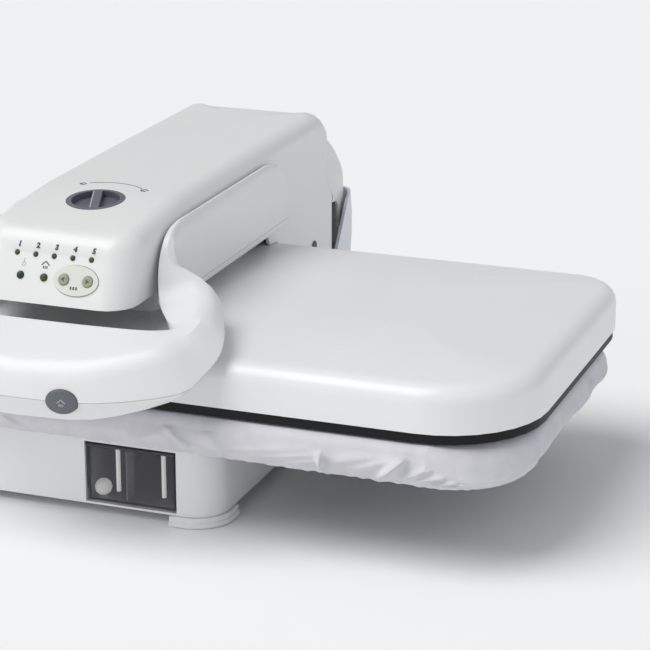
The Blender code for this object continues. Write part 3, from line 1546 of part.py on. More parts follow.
def water_tank():
    half = TANK_WIDTH / 2

    def outline(inset):
        return [
            (TANK_X - half + inset, BASE_FRONT + inset),
            (TANK_X + half - inset, BASE_FRONT + inset),
            (TANK_X + half - inset, TANK_REAR - inset),
            (TANK_X - half + inset, TANK_REAR - inset),
        ]

    rings = [
        level(outline(TANK_WALL), TANK_BOTTOM + TANK_WALL),
        level(outline(TANK_WALL), TANK_TOP),
        level(outline(0), TANK_TOP),
        level(outline(0), TANK_BOTTOM),
    ]
    solid("water_tank", skin(rings), "smoke")
    lid = [
        level(outline(0), TANK_TOP + FIT),
        level(outline(0), TANK_TOP + FIT + LID_HEIGHT / 2),
        level(outline(TANK_WALL), TANK_TOP + LID_HEIGHT),
    ]
    made = solid("tank_lid", skin(lid), "slate")
    plug_y = TANK_REAR - 2 * PLUG_RADIUS
    low, high = TANK_TOP - OVERRUN, TANK_TOP + LID_HEIGHT + OVERRUN
    holes = [rod((TANK_X, plug_y, low), (TANK_X, plug_y, high), PLUG_RADIUS + FIT, 20)]
    tubes = []
    for share, name in ((INTAKE_SHARE, "intake_tube"), (RETURN_SHARE, "return_tube")):
        x = TANK_X + share * TANK_WIDTH
        y = BASE_FRONT + TUBE_SETBACK
        holes.append(rod((x, y, low), (x, y, high), TUBE_RADIUS + FIT, 10))
        bottom = TANK_BOTTOM + TANK_WALL + 2 * TUBE_RADIUS
        tubes.append((name, (x, y, bottom), (x, y, TANK_TOP + LID_HEIGHT)))
    cut(made, join(*holes))
    for name, start, end in tubes:
        solid(name, rod(start, end, TUBE_RADIUS, 10), "hose")
    profile = (
        (PLUG_RADIUS, -LID_HEIGHT),
        (PLUG_RADIUS, 0),
        (PLUG_RADIUS * 0.6, FIT),
    )
    top = TANK_TOP + LID_HEIGHT
    solid("tank_plug", turned(profile, (TANK_X, plug_y, top), (0, 0, 1), 20), "slate")
    ball = bmesh.new()
    bmesh.ops.create_icosphere(ball, subdivisions=2, radius=FLOAT_RADIUS)
    rest = TANK_WALL + FIT + FLOAT_RADIUS
    place = (TANK_X - half + rest, BASE_FRONT + rest, TANK_BOTTOM + rest)
    bmesh.ops.translate(ball, verts=ball.verts, vec=place)
    solid("float_ball", ball, "ball")


def pump():
    """The tank's valve seat, the vibrating pump behind it and their hoses."""
    y = TANK_REAR + TANK_RUN
    floor = BASE_FLOOR + SHEET + FIT
    seat = (
        (VALVE_SEAT_RADIUS, 0),
        (VALVE_SEAT_RADIUS, VALVE_SEAT_LENGTH / 2),
        (HOSE_RADIUS, VALVE_SEAT_LENGTH / 2),
        (HOSE_RADIUS, VALVE_SEAT_LENGTH),
    )
    seat_z = floor + VALVE_SEAT_RADIUS
    solid("tank_valve", turned(seat, (TANK_X, y, seat_z), (0, 1, 0), 16), "slate")
    front = TANK_REAR + PUMP_BEHIND
    half = PUMP_WIDTH / 2
    low = floor
    body = box((TANK_X - half, front, low), (TANK_X + half, front + PUMP_LENGTH, low + PUMP_HEIGHT))
    made = solid("pump", body, "slate")
    nose_z = low + PUMP_HEIGHT / 2
    nose_end = front + PUMP_LENGTH + PUMP_NOSE
    add(made, rod((TANK_X, front - PUMP_NOSE, nose_z), (TANK_X, nose_end, nose_z), PUMP_NOSE_RADIUS, 16))
    soft = made.modifiers.new("soft_edges", "BEVEL")
    soft.width = FIT * 4
    soft.segments = 1
    soft.limit_method = "ANGLE"
    soft.angle_limit = radians(60)
    start = (TANK_X, y + VALVE_SEAT_LENGTH + FIT, seat_z)
    end = (TANK_X, front - PUMP_NOSE - FIT, nose_z)
    tube("suction_hose", led_route(start, (0, 1, 0), (), end, (0, -1, 0)), HOSE_RADIUS, "hose")


def build():
    clear_scene()
    platen_shell()
    insulation_frame()
    heating_plate()
    steam_chamber()
    heater_element()
    thermostat()
    platen_carrier()
    platen_saddle()
    arm_cover()
    arm_rear_cover()
    arm_chassis()
    lamps()
    keypad()
    control_board()
    dial()
    hinge()
    rear_housing()
    handle()
    steam_button()
    board_cover()
    board_pad()
    board_tray()
    beams()
    base_housing()
    bottom_pan()
    cable_inlet()
    water_tank()
    pump()


build()
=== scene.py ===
import random
from math import cos, exp, pi, radians, sin

import bmesh
import bpy
from mathutils import Matrix, Vector, noise


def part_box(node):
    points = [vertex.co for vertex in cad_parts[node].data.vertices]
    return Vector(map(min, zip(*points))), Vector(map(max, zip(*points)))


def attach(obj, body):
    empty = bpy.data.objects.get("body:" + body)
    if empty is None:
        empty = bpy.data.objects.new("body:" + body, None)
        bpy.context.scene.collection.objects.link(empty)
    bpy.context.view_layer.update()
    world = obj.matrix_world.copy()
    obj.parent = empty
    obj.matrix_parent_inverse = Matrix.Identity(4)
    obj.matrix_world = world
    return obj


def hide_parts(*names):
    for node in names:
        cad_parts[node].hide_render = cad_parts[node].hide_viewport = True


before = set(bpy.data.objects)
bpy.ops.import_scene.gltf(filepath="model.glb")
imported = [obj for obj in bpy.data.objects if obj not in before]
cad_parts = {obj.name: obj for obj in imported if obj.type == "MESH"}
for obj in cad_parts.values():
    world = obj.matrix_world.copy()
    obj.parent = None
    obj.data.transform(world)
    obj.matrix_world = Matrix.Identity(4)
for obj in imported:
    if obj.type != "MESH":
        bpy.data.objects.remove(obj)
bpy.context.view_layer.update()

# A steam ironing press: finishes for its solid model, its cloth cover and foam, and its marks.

# The leaning front panel, in metres: a point at its foot, its lean, its way out and its way
# up, and how far out the search for its surface starts.
PANEL_FOOT = Vector((0, -0.199, 0.155))
PANEL_LEAN = 0.5
PANEL_OUT = Vector((0, -1, PANEL_LEAN)).normalized()
PANEL_UP = PANEL_OUT.cross(Vector((1, 0, 0)))
PANEL_REACH = 0.020

# Printed marks: how thick they are, and how far they stand off the surface under them.
MARK = 0.00012
LIFT = 0.00002

# Points closer than this are one point, and edges sharper than this stay sharp.
WELD = 0.00001
SHARP_ANGLE = radians(38)

# A mix node's colour sockets, which share their names with its number sockets.
MIX_SHARE = 0
MIX_SHADE = 6
MIX_COLOUR = 7
MIX_RESULT = 2

# The part of a pattern's range over which the tone runs from the shade to the plain colour.
TONE_SPAN = (0.35, 0.65)
LINE_SPAN = (0.3, 0.7)

# How much rougher a material is in its shade, and how much smoother in its plain colour.
PLASTIC_SPREAD = (0.05, 0.03)
METAL_SPREAD = (0.08, 0.05)
CLOTH_SPREAD = (0.05, 0.05)

CLOTH_ROUGHNESS = 0.85
CLOTH_BUMP = 0.5
METAL_BUMP = 0.25
METAL_DEPTH = 0.00003

# How far behind the tank's front its plastic is still clear, and from where it is dark and nearly opaque:
# painted shade for the tank's inside.
WALL_CLEAR = 0.0030
WALL_PAINTED_SHADE = 0.0045

# Patterns that the materials share.


def group(name, inputs, outputs):
    """An empty node group with its sockets, and its two ends."""
    tree = bpy.data.node_groups.new(name, "ShaderNodeTree")
    for label, kind, value in inputs:
        socket = tree.interface.new_socket(name=label, in_out="INPUT", socket_type=kind)
        if value is not None:
            socket.default_value = value
    for label, kind in outputs:
        tree.interface.new_socket(name=label, in_out="OUTPUT", socket_type=kind)
    return tree, tree.nodes.new("NodeGroupInput"), tree.nodes.new("NodeGroupOutput")


def moulded_group():
    """The fine spark-eroded grain and slow tone drift of moulded plastic."""
    tree, start, end = group(
        "moulded_grain",
        [
            ("Vector", "NodeSocketVector", None),
            ("Grain", "NodeSocketFloat", 1500.0),
            ("Drift", "NodeSocketFloat", 9.0),
        ],
        [("Height", "NodeSocketFloat"), ("Tone", "NodeSocketFloat")],
    )
    grain = tree.nodes.new("ShaderNodeTexNoise")
    grain.inputs["Detail"].default_value = 2.0
    drift = tree.nodes.new("ShaderNodeTexNoise")
    drift.inputs["Detail"].default_value = 3.0
    drift.inputs["Roughness"].default_value = 0.45
    join = tree.links.new
    join(start.outputs["Vector"], grain.inputs["Vector"])
    join(start.outputs["Grain"], grain.inputs["Scale"])
    join(start.outputs["Vector"], drift.inputs["Vector"])
    join(start.outputs["Drift"], drift.inputs["Scale"])
    join(grain.outputs["Fac"], end.inputs["Height"])
    join(drift.outputs["Fac"], end.inputs["Tone"])
    return tree


def weave_group():
    """A plain weave: threads over and under each other, and their slubs."""
    tree, start, end = group(
        "plain_weave",
        [("Vector", "NodeSocketVector", None), ("Threads", "NodeSocketFloat", 1500.0)],
        [("Height", "NodeSocketFloat"), ("Tone", "NodeSocketFloat")],
    )
    join = tree.links.new
    bands = []
    for direction in ("X", "Y"):
        wave = tree.nodes.new("ShaderNodeTexWave")
        wave.bands_direction = direction
        wave.inputs["Distortion"].default_value = 1.2
        wave.inputs["Detail"].default_value = 1.0
        wave.inputs["Detail Scale"].default_value = 0.4
        join(start.outputs["Vector"], wave.inputs["Vector"])
        join(start.outputs["Threads"], wave.inputs["Scale"])
        bands.append(wave)
    over = tree.nodes.new("ShaderNodeMath")
    over.operation = "MAXIMUM"
    join(bands[0].outputs["Fac"], over.inputs[0])
    join(bands[1].outputs["Fac"], over.inputs[1])
    slub = tree.nodes.new("ShaderNodeTexNoise")
    slub.inputs["Scale"].default_value = 60.0
    slub.inputs["Detail"].default_value = 4.0
    join(start.outputs["Vector"], slub.inputs["Vector"])
    join(over.outputs[0], end.inputs["Height"])
    join(slub.outputs["Fac"], end.inputs["Tone"])
    return tree


def brushed_group():
    """Rolled sheet or turned bar: fine lines along one way."""
    tree, start, end = group(
        "rolled_lines",
        [("Vector", "NodeSocketVector", None), ("Stretch", "NodeSocketVector", (30.0, 900.0, 900.0))],
        [("Height", "NodeSocketFloat")],
    )
    join = tree.links.new
    stretch = tree.nodes.new("ShaderNodeVectorMath")
    stretch.operation = "MULTIPLY"
    lines = tree.nodes.new("ShaderNodeTexNoise")
    lines.inputs["Scale"].default_value = 1.0
    lines.inputs["Detail"].default_value = 2.0
    join(start.outputs["Vector"], stretch.inputs[0])
    join(start.outputs["Stretch"], stretch.inputs[1])
    join(stretch.outputs[0], lines.inputs["Vector"])
    join(lines.outputs["Fac"], end.inputs["Height"])
    return tree


MOULDED = moulded_group()
WEAVE = weave_group()
ROLLED = brushed_group()


def new_material(name):
    """A new material, with its tree and its shader."""
    made = bpy.data.materials.new(name)
    made.use_nodes = True
    shader = made.node_tree.nodes["Principled BSDF"]
    return made, made.node_tree, shader


def pattern(tree, shared, place, settings):
    """A shared pattern in a material, laid out by the given place."""
    node = tree.nodes.new("ShaderNodeGroup")
    node.node_tree = shared
    for label, value in settings.items():
        node.inputs[label].default_value = value
    tree.links.new(place, node.inputs["Vector"])
    return node


def linked_colour(tree, shader, tone, colour, shade, span):
    """Base colour that drifts between a shade and the plain colour."""
    spread = tree.nodes.new("ShaderNodeMapRange")
    spread.inputs["From Min"].default_value = span[0]
    spread.inputs["From Max"].default_value = span[1]
    mix = tree.nodes.new("ShaderNodeMix")
    mix.data_type = "RGBA"
    mix.inputs[MIX_SHADE].default_value = (*shade, 1.0)
    mix.inputs[MIX_COLOUR].default_value = (*colour, 1.0)
    tree.links.new(tone, spread.inputs["Value"])
    tree.links.new(spread.outputs["Result"], mix.inputs[MIX_SHARE])
    tree.links.new(mix.outputs[MIX_RESULT], shader.inputs["Base Color"])
    return spread.outputs["Result"]


def linked_bump(tree, shader, height, strength, distance):
    """Fine relief from a height."""
    bump = tree.nodes.new("ShaderNodeBump")
    bump.inputs["Strength"].default_value = strength
    bump.inputs["Distance"].default_value = distance
    tree.links.new(height, bump.inputs["Height"])
    tree.links.new(bump.outputs["Normal"], shader.inputs["Normal"])


def linked_roughness(tree, shader, share, roughness, spread):
    """Roughness that goes with the tone: rougher in the shade."""
    span = tree.nodes.new("ShaderNodeMapRange")
    span.inputs["To Min"].default_value = roughness + spread[0]
    span.inputs["To Max"].default_value = roughness - spread[1]
    tree.links.new(share, span.inputs["Value"])
    tree.links.new(span.outputs["Result"], shader.inputs["Roughness"])


def plastic(
    name, colour, shade, roughness, grain=1500.0, depth=0.00004, specular=0.5, drift=9.0, bump=0.35
):
    """Moulded plastic, with its grain and the slow drift of its tone."""
    made, tree, shader = new_material(name)
    place = tree.nodes.new("ShaderNodeTexCoord").outputs["Object"]
    node = pattern(tree, MOULDED, place, {"Grain": grain, "Drift": drift})
    share = linked_colour(tree, shader, node.outputs["Tone"], colour, shade, TONE_SPAN)
    linked_roughness(tree, shader, share, roughness, PLASTIC_SPREAD)
    linked_bump(tree, shader, node.outputs["Height"], bump, depth)
    shader.inputs["Specular IOR Level"].default_value = specular
    return made


def metal(name, colour, shade, roughness, stretch):
    """Bare metal with the fine lines of its making."""
    made, tree, shader = new_material(name)
    place = tree.nodes.new("ShaderNodeTexCoord").outputs["Object"]
    lines = pattern(tree, ROLLED, place, {"Stretch": stretch}).outputs["Height"]
    share = linked_colour(tree, shader, lines, colour, shade, LINE_SPAN)
    linked_roughness(tree, shader, share, roughness, METAL_SPREAD)
    linked_bump(tree, shader, lines, METAL_BUMP, METAL_DEPTH)
    shader.inputs["Metallic"].default_value = 1.0
    return made


def cloth(name, colour, shade, threads, depth, sheen):
    """Woven cloth, laid out by the cloth's own UV layer."""
    made, tree, shader = new_material(name)
    place = tree.nodes.new("ShaderNodeUVMap")
    place.uv_map = "cloth"
    node = pattern(tree, WEAVE, place.outputs["UV"], {"Threads": threads})
    share = linked_colour(tree, shader, node.outputs["Tone"], colour, shade, TONE_SPAN)
    linked_roughness(tree, shader, share, CLOTH_ROUGHNESS, CLOTH_SPREAD)
    linked_bump(tree, shader, node.outputs["Height"], CLOTH_BUMP, depth)
    shader.inputs["Sheen Weight"].default_value = sheen
    shader.inputs["Sheen Roughness"].default_value = 0.45
    shader.inputs["Specular IOR Level"].default_value = 0.25
    return made


def clear_window_shaded_body(made, window_alpha, painted_shade_alpha):
    """Leaves the tank's smoky plastic clear in its front wall, and dark and nearly opaque behind it as
    painted shade for the tank's inside.
    """
    tree = made.node_tree
    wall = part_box("water_tank")[0].y
    parts = tree.nodes.new("ShaderNodeSeparateXYZ")
    front = tree.nodes.new("ShaderNodeMapRange")
    front.inputs["From Min"].default_value = wall + WALL_CLEAR
    front.inputs["From Max"].default_value = wall + WALL_PAINTED_SHADE
    front.inputs["To Min"].default_value = window_alpha
    front.inputs["To Max"].default_value = painted_shade_alpha
    tree.links.new(tree.nodes["Texture Coordinate"].outputs["Object"], parts.inputs["Vector"])
    tree.links.new(parts.outputs["Y"], front.inputs["Value"])
    tree.links.new(front.outputs["Result"], tree.nodes["Principled BSDF"].inputs["Alpha"])
    return made


def painted_glow(made, glow):
    """A painted glow on the pieces behind the clear window, standing in for the light that reaches them."""
    shader = made.node_tree.nodes["Principled BSDF"]
    shader.inputs["Emission Color"].default_value = (1.0, 1.0, 0.97, 1.0)
    shader.inputs["Emission Strength"].default_value = glow
    return made


SHELL_WHITE = plastic("shell_white", (0.86, 0.86, 0.865), (0.835, 0.835, 0.845), 0.30, depth=0.00003)
ARM_WHITE = plastic("arm_white", (0.835, 0.84, 0.83), (0.81, 0.815, 0.81), 0.36, depth=0.00005)
GRIP_WHITE = plastic("grip_white", (0.84, 0.84, 0.845), (0.815, 0.815, 0.825), 0.34, depth=0.00004)
# The base's white is lighter than the other whites: painted light on its front.
BASE_WHITE_PAINTED_LIGHT = plastic("base_white", (0.91, 0.91, 0.92), (0.885, 0.885, 0.895), 0.38, depth=0.00006)
FAIRING_WHITE = plastic("fairing_white", (0.83, 0.85, 0.90), (0.80, 0.82, 0.87), 0.40, depth=0.00006)
FRAME_BLACK = plastic(
    "frame_black", (0.007, 0.007, 0.009), (0.011, 0.011, 0.013), 0.48, grain=900.0, specular=0.22
)
KNOB_SLATE = plastic("knob_slate", (0.150, 0.158, 0.190), (0.128, 0.135, 0.165), 0.36, grain=1100.0)
BUTTON_SLATE = plastic("button_slate", (0.130, 0.140, 0.155), (0.108, 0.118, 0.132), 0.34, grain=1000.0)
KEYPAD_CREAM = plastic("keypad_cream", (0.73, 0.735, 0.685), (0.69, 0.695, 0.64), 0.48, grain=1300.0)
KEY_OLIVE = plastic("key_olive", (0.30, 0.33, 0.22), (0.36, 0.39, 0.28), 0.50, grain=1600.0, drift=160.0)
LENS_OLIVE = plastic(
    "lens_olive", (0.050, 0.058, 0.018), (0.085, 0.095, 0.030), 0.38, specular=0.3, drift=400.0
)
LENS_TEAL = plastic(
    "lens_teal", (0.010, 0.045, 0.040), (0.018, 0.075, 0.062), 0.38, specular=0.3, drift=400.0
)
PRINT_GREY = plastic("print_grey", (0.060, 0.060, 0.070), (0.09, 0.09, 0.10), 0.55, drift=700.0)
PRINT_PALE = plastic("print_pale", (0.48, 0.50, 0.53), (0.40, 0.42, 0.45), 0.50, drift=700.0)
PRINT_SOFT = plastic("print_soft", (0.30, 0.30, 0.31), (0.26, 0.26, 0.27), 0.55, drift=700.0)
PRINT_OLIVE = plastic("print_olive", (0.095, 0.115, 0.050), (0.13, 0.15, 0.08), 0.55, drift=700.0)
RUBBER_BLACK = plastic("rubber_black", (0.020, 0.020, 0.021), (0.030, 0.030, 0.031), 0.72, grain=700.0)
CAP_SLATE = plastic("cap_slate", (0.060, 0.063, 0.075), (0.080, 0.083, 0.095), 0.55, grain=1200.0)
DARK_MOULDING = plastic("dark_moulding", (0.045, 0.047, 0.055), (0.060, 0.062, 0.070), 0.55)
BOARD_GREEN = plastic(
    "board_green", (0.020, 0.125, 0.065), (0.012, 0.085, 0.045), 0.42, grain=400.0, drift=220.0
)
HOSE_CLEAR = plastic("hose_clear", (0.72, 0.72, 0.68), (0.66, 0.66, 0.62), 0.40, grain=900.0)
# The tubes and the float ball glow a little: painted light, as they are no lamps.
TUBE_WHITE = painted_glow(
    plastic("tube_white", (0.95, 0.95, 0.93), (0.93, 0.93, 0.91), 0.35, grain=900.0), 0.34
)
BALL_IVORY = painted_glow(
    plastic("ball_ivory", (0.80, 0.80, 0.72), (0.68, 0.68, 0.61), 0.40, grain=500.0, drift=150.0), 0.22
)
SMOKY = plastic(
    "tank_smoke", (0.27, 0.262, 0.29), (0.20, 0.195, 0.22), 0.14, grain=260.0, depth=0.00005, drift=30.0
)
# The smoky walls behind the front are nearly opaque: painted shade inside the tank.
TANK_SMOKE = clear_window_shaded_body(SMOKY, window_alpha=0.16, painted_shade_alpha=0.92)
RIB_SMOKE = plastic("rib_smoke", (0.30, 0.30, 0.33), (0.26, 0.26, 0.29), 0.2, drift=40.0)
STEEL = metal("zinc_steel", (0.50, 0.51, 0.52), (0.42, 0.43, 0.44), 0.36, (700.0, 40.0, 700.0))
AXLE_STEEL = metal("axle_steel", (0.56, 0.57, 0.58), (0.47, 0.48, 0.49), 0.24, (30.0, 900.0, 900.0))
SPRING_STEEL = metal("spring_steel", (0.44, 0.44, 0.44), (0.34, 0.34, 0.34), 0.30, (400.0, 400.0, 400.0))
PLATE_ALUMINIUM = metal(
    "plate_aluminium", (0.70, 0.70, 0.71), (0.62, 0.62, 0.63), 0.28, (25.0, 1100.0, 1100.0)
)
CAST_ALUMINIUM = metal(
    "cast_aluminium", (0.58, 0.58, 0.59), (0.46, 0.46, 0.47), 0.48, (260.0, 260.0, 260.0)
)
BRASS = metal("valve_brass", (0.62, 0.44, 0.19), (0.52, 0.36, 0.15), 0.30, (600.0, 600.0, 60.0))
COVER_CLOTH = cloth("cover_cloth", (0.755, 0.745, 0.785), (0.695, 0.685, 0.73), 900.0, 0.00018, 0.15)
PAD_FOAM = plastic(
    "pad_foam", (0.70, 0.65, 0.50), (0.62, 0.57, 0.43), 0.90, grain=420.0, depth=0.0006, drift=60.0, bump=0.8
)

# Which finish each node of the solid model has.
FOOT_PADS = tuple(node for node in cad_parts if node.startswith("foot_pad"))
FINISHES = (
    (SHELL_WHITE, ("platen_shell", "platen_saddle")),
    (ARM_WHITE, ("arm_cover", "arm_rear_cover")),
    (GRIP_WHITE, ("handle_upper", "handle_lower")),
    (BASE_WHITE_PAINTED_LIGHT, ("base_housing", "bottom_pan")),
    (FAIRING_WHITE, ("rear_housing",)),
    (FRAME_BLACK, ("insulation_frame",)),
    (KNOB_SLATE, ("dial_knob",)),
    (BUTTON_SLATE, ("steam_button",)),
    (KEYPAD_CREAM, ("keypad_bezel",)),
    (KEY_OLIVE, ("key_left", "key_right")),
    (LENS_OLIVE, ("fabric_lamps", "steam_lamp")),
    (LENS_TEAL, ("power_lamp",)),
    (CAP_SLATE, ("axle_cap_left", "axle_cap_right")),
    (RUBBER_BLACK, ("cable_inlet", *FOOT_PADS)),
    (DARK_MOULDING, ("hinge_bush_left", "hinge_bush_right", "handle_bush_left", "handle_bush_right")),
    (DARK_MOULDING, ("pump", "tank_valve", "tank_lid", "tank_plug")),
    (BOARD_GREEN, ("control_board",)),
    (HOSE_CLEAR, ("suction_hose",)),
    (TUBE_WHITE, ("intake_tube", "return_tube")),
    (BALL_IVORY, ("float_ball",)),
    (TANK_SMOKE, ("water_tank",)),
    (STEEL, ("arm_chassis", "hinge_bracket", "lever_crank", "platen_carrier", "board_tray")),
    (STEEL, ("board_beam_front", "board_beam_rear")),
    (AXLE_STEEL, ("hinge_axle", "handle_shaft")),
    (SPRING_STEEL, ("counter_spring_left", "counter_spring_right")),
    (PLATE_ALUMINIUM, ("heating_plate",)),
    (CAST_ALUMINIUM, ("steam_chamber", "heater_element", "thermostat", "thermal_fuse")),
    (BRASS, ("dial_valve",)),
)


def moulded_shading_group():
    """Joins a solid's triangles and shades it smooth, but for its real edges."""
    tree = bpy.data.node_groups.new("moulded_shading", "GeometryNodeTree")
    tree.interface.new_socket(name="Geometry", in_out="INPUT", socket_type="NodeSocketGeometry")
    angle = tree.interface.new_socket(name="Angle", in_out="INPUT", socket_type="NodeSocketFloat")
    angle.default_value = SHARP_ANGLE
    tree.interface.new_socket(name="Geometry", in_out="OUTPUT", socket_type="NodeSocketGeometry")
    start = tree.nodes.new("NodeGroupInput")
    end = tree.nodes.new("NodeGroupOutput")
    merge = tree.nodes.new("GeometryNodeMergeByDistance")
    merge.inputs["Distance"].default_value = WELD
    forget = tree.nodes.new("GeometryNodeRemoveAttribute")
    forget.inputs["Name"].default_value = "custom_normal"
    faces = tree.nodes.new("GeometryNodeSetShadeSmooth")
    faces.domain = "FACE"
    edges = tree.nodes.new("GeometryNodeSetShadeSmooth")
    edges.domain = "EDGE"
    edges.inputs["Shade Smooth"].default_value = False
    bend = tree.nodes.new("GeometryNodeInputMeshEdgeAngle")
    sharp = tree.nodes.new("FunctionNodeCompare")
    sharp.operation = "GREATER_THAN"
    plain = tree.nodes.new("GeometryNodeSetShadeSmooth")
    plain.domain = "EDGE"
    join = tree.links.new
    join(start.outputs["Geometry"], forget.inputs["Geometry"])
    join(forget.outputs["Geometry"], merge.inputs["Geometry"])
    join(merge.outputs["Geometry"], faces.inputs["Geometry"])
    join(faces.outputs["Geometry"], plain.inputs["Geometry"])
    join(plain.outputs["Geometry"], edges.inputs["Geometry"])
    join(bend.outputs["Unsigned Angle"], sharp.inputs["A"])
    join(start.outputs["Angle"], sharp.inputs["B"])
    join(sharp.outputs["Result"], edges.inputs["Selection"])
    join(edges.outputs["Geometry"], end.inputs["Geometry"])
    return tree


def finish_nodes():
    """Gives every node of the solid model its finish and a moulded surface."""
    shading = moulded_shading_group()
    for finish, nodes in FINISHES:
        for node in nodes:
            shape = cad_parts[node]
            shape.data.materials.clear()
            shape.data.materials.append(finish)
            smooth = shape.modifiers.new("moulded_shading", "NODES")
            smooth.node_group = shading
            weigh = shape.modifiers.new("flat_faces_stay_flat", "WEIGHTED_NORMAL")
            weigh.keep_sharp = True


# Tools for the pieces that are modelled here.


def alone(shape):
    """Selects one shape and nothing else."""
    bpy.ops.object.select_all(action="DESELECT")
    shape.select_set(True)
    bpy.context.view_layer.objects.active = shape


def settle(shape, name, finish, body):
    """Applies the shape's place, names it, gives it its finish and rides it on its body."""
    alone(shape)
    bpy.ops.object.transform_apply(location=True, rotation=True, scale=True)
    shape.name = shape.data.name = name
    shape.data.materials.clear()
    shape.data.materials.append(finish)
    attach(shape, body)


def joined(shapes):
    """Joins the shapes into the first of them."""
    bpy.ops.object.select_all(action="DESELECT")
    for shape in shapes:
        shape.select_set(True)
    bpy.context.view_layer.objects.active = shapes[0]
    bpy.ops.object.join()
    return bpy.context.view_layer.objects.active


def block(low, high):
    """A box between two corners."""
    low = Vector(low)
    high = Vector(high)
    bpy.ops.object.select_all(action="DESELECT")
    bpy.ops.mesh.primitive_cube_add(size=1, location=(0, 0, 0))
    shape = bpy.context.object
    shape.scale = high - low
    shape.location = (low + high) / 2
    bpy.ops.object.transform_apply(location=True, rotation=True, scale=True)
    return shape


def pick(shape, kind, wanted):
    """Picks the edges or faces that pass a test on their ends, or their place and normal."""
    if bpy.context.object.mode != "EDIT":
        alone(shape)
        bpy.ops.object.mode_set(mode="EDIT")
    bpy.ops.mesh.select_mode(type=kind)
    bpy.ops.mesh.select_all(action="DESELECT")
    form = bmesh.from_edit_mesh(shape.data)
    elements = form.edges if kind == "EDGE" else form.faces
    for element in elements:
        if kind == "EDGE":
            element.select = wanted(element.verts[0].co, element.verts[1].co)
        else:
            element.select = wanted(element.calc_center_median(), element.normal)
    form.select_flush_mode()
    bmesh.update_edit_mesh(shape.data)


def thicken(shape, depth):
    """Gives a flat mark its small thickness, upwards."""
    alone(shape)
    bpy.ops.object.mode_set(mode="EDIT")
    bpy.ops.mesh.select_all(action="SELECT")
    bpy.ops.mesh.remove_doubles(threshold=WELD)
    bpy.ops.mesh.extrude_region_move(TRANSFORM_OT_translate={"value": (0, 0, depth)})
    bpy.ops.mesh.select_all(action="SELECT")
    bpy.ops.mesh.normals_make_consistent(inside=False)
    bpy.ops.object.mode_set(mode="OBJECT")


def turned(across, up, out):
    """The turn that takes a flat mark's x, y and z to these three ways."""
    return Matrix((across, up, out)).transposed().to_4x4()


def put(shape, matrix):
    """Moves a shape to its place for good."""
    shape.matrix_world = matrix
    alone(shape)
    bpy.ops.object.transform_apply(location=True, rotation=True, scale=True)
    return shape


def panel_matrix(x, z, node, out=LIFT):
    """The place of a mark on a node of the leaning panel: its x across and its y up the slope."""
    y = PANEL_FOOT.y + PANEL_LEAN * (z - PANEL_FOOT.z)
    outside = Vector((x, y, z)) + PANEL_OUT * PANEL_REACH
    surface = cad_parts[node].ray_cast(outside, -PANEL_OUT)[1]
    turn = turned(Vector((1, 0, 0)), PANEL_UP, PANEL_OUT)
    return Matrix.Translation(surface + PANEL_OUT * out) @ turn


BAR_ROUNDING = 0.3
RING_CORNERS = 28


def bar(width, length, x=0.0, y=0.0, turn=0.0):
    """A flat printed stroke with round corners, on the plane of the origin."""
    bpy.ops.object.select_all(action="DESELECT")
    bpy.ops.mesh.primitive_plane_add(size=1, location=(0, 0, 0))
    shape = bpy.context.object
    bpy.ops.object.mode_set(mode="EDIT")
    bpy.ops.transform.resize(value=(width, length, 1))
    bpy.ops.mesh.bevel(offset=min(width, length) * BAR_ROUNDING, segments=2, affect="VERTICES")
    bpy.ops.object.mode_set(mode="OBJECT")
    shape.rotation_euler = (0, 0, turn)
    shape.location = (x, y, 0)
    alone(shape)
    bpy.ops.object.transform_apply(location=True, rotation=True, scale=True)
    thicken(shape, MARK)
    return shape


def ring(radius, hole):
    """A flat printed ring at the origin."""
    bpy.ops.object.select_all(action="DESELECT")
    bpy.ops.mesh.primitive_circle_add(
        vertices=RING_CORNERS, radius=radius, fill_type="NGON", location=(0, 0, 0)
    )
    shape = bpy.context.object
    bpy.ops.object.mode_set(mode="EDIT")
    bpy.ops.mesh.inset(thickness=radius - hole)
    bpy.ops.mesh.delete(type="FACE")
    bpy.ops.object.mode_set(mode="OBJECT")
    thicken(shape, MARK)
    return shape


# The numbers over the lamps. Their boldness is a share of their height, and their height
# is a share of the size of the type.
LAMP_COUNT = 5
LAMP_PITCH = 0.0138
LAMP_Z = 0.185
NUMBER_RISE = 0.0055
NUMBER_SHIFT = 0.0014
DIGIT_HEIGHT = 0.0034
DIGIT_DEPTH = 0.0006
DIGIT_LEAN = 0.16
DIGIT_BOLDNESS = 0.07
DIGIT_SHARE_OF_TYPE = 0.7
DIGIT_CURVE_STEPS = 4


def printed_digit(text):
    """A plain digit that leans a little and lies flat at the origin, as a mesh."""
    bpy.ops.object.select_all(action="DESELECT")
    bpy.ops.object.text_add(location=(0, 0, 0))
    shape = bpy.context.object
    shape.data.body = text
    shape.data.size = DIGIT_HEIGHT / DIGIT_SHARE_OF_TYPE
    shape.data.shear = DIGIT_LEAN
    shape.data.align_x = "CENTER"
    shape.data.resolution_u = DIGIT_CURVE_STEPS
    shape.data.offset = DIGIT_HEIGHT * DIGIT_BOLDNESS
    alone(shape)
    bpy.ops.object.convert(target="MESH")
    thicken(shape, DIGIT_DEPTH)
    return shape


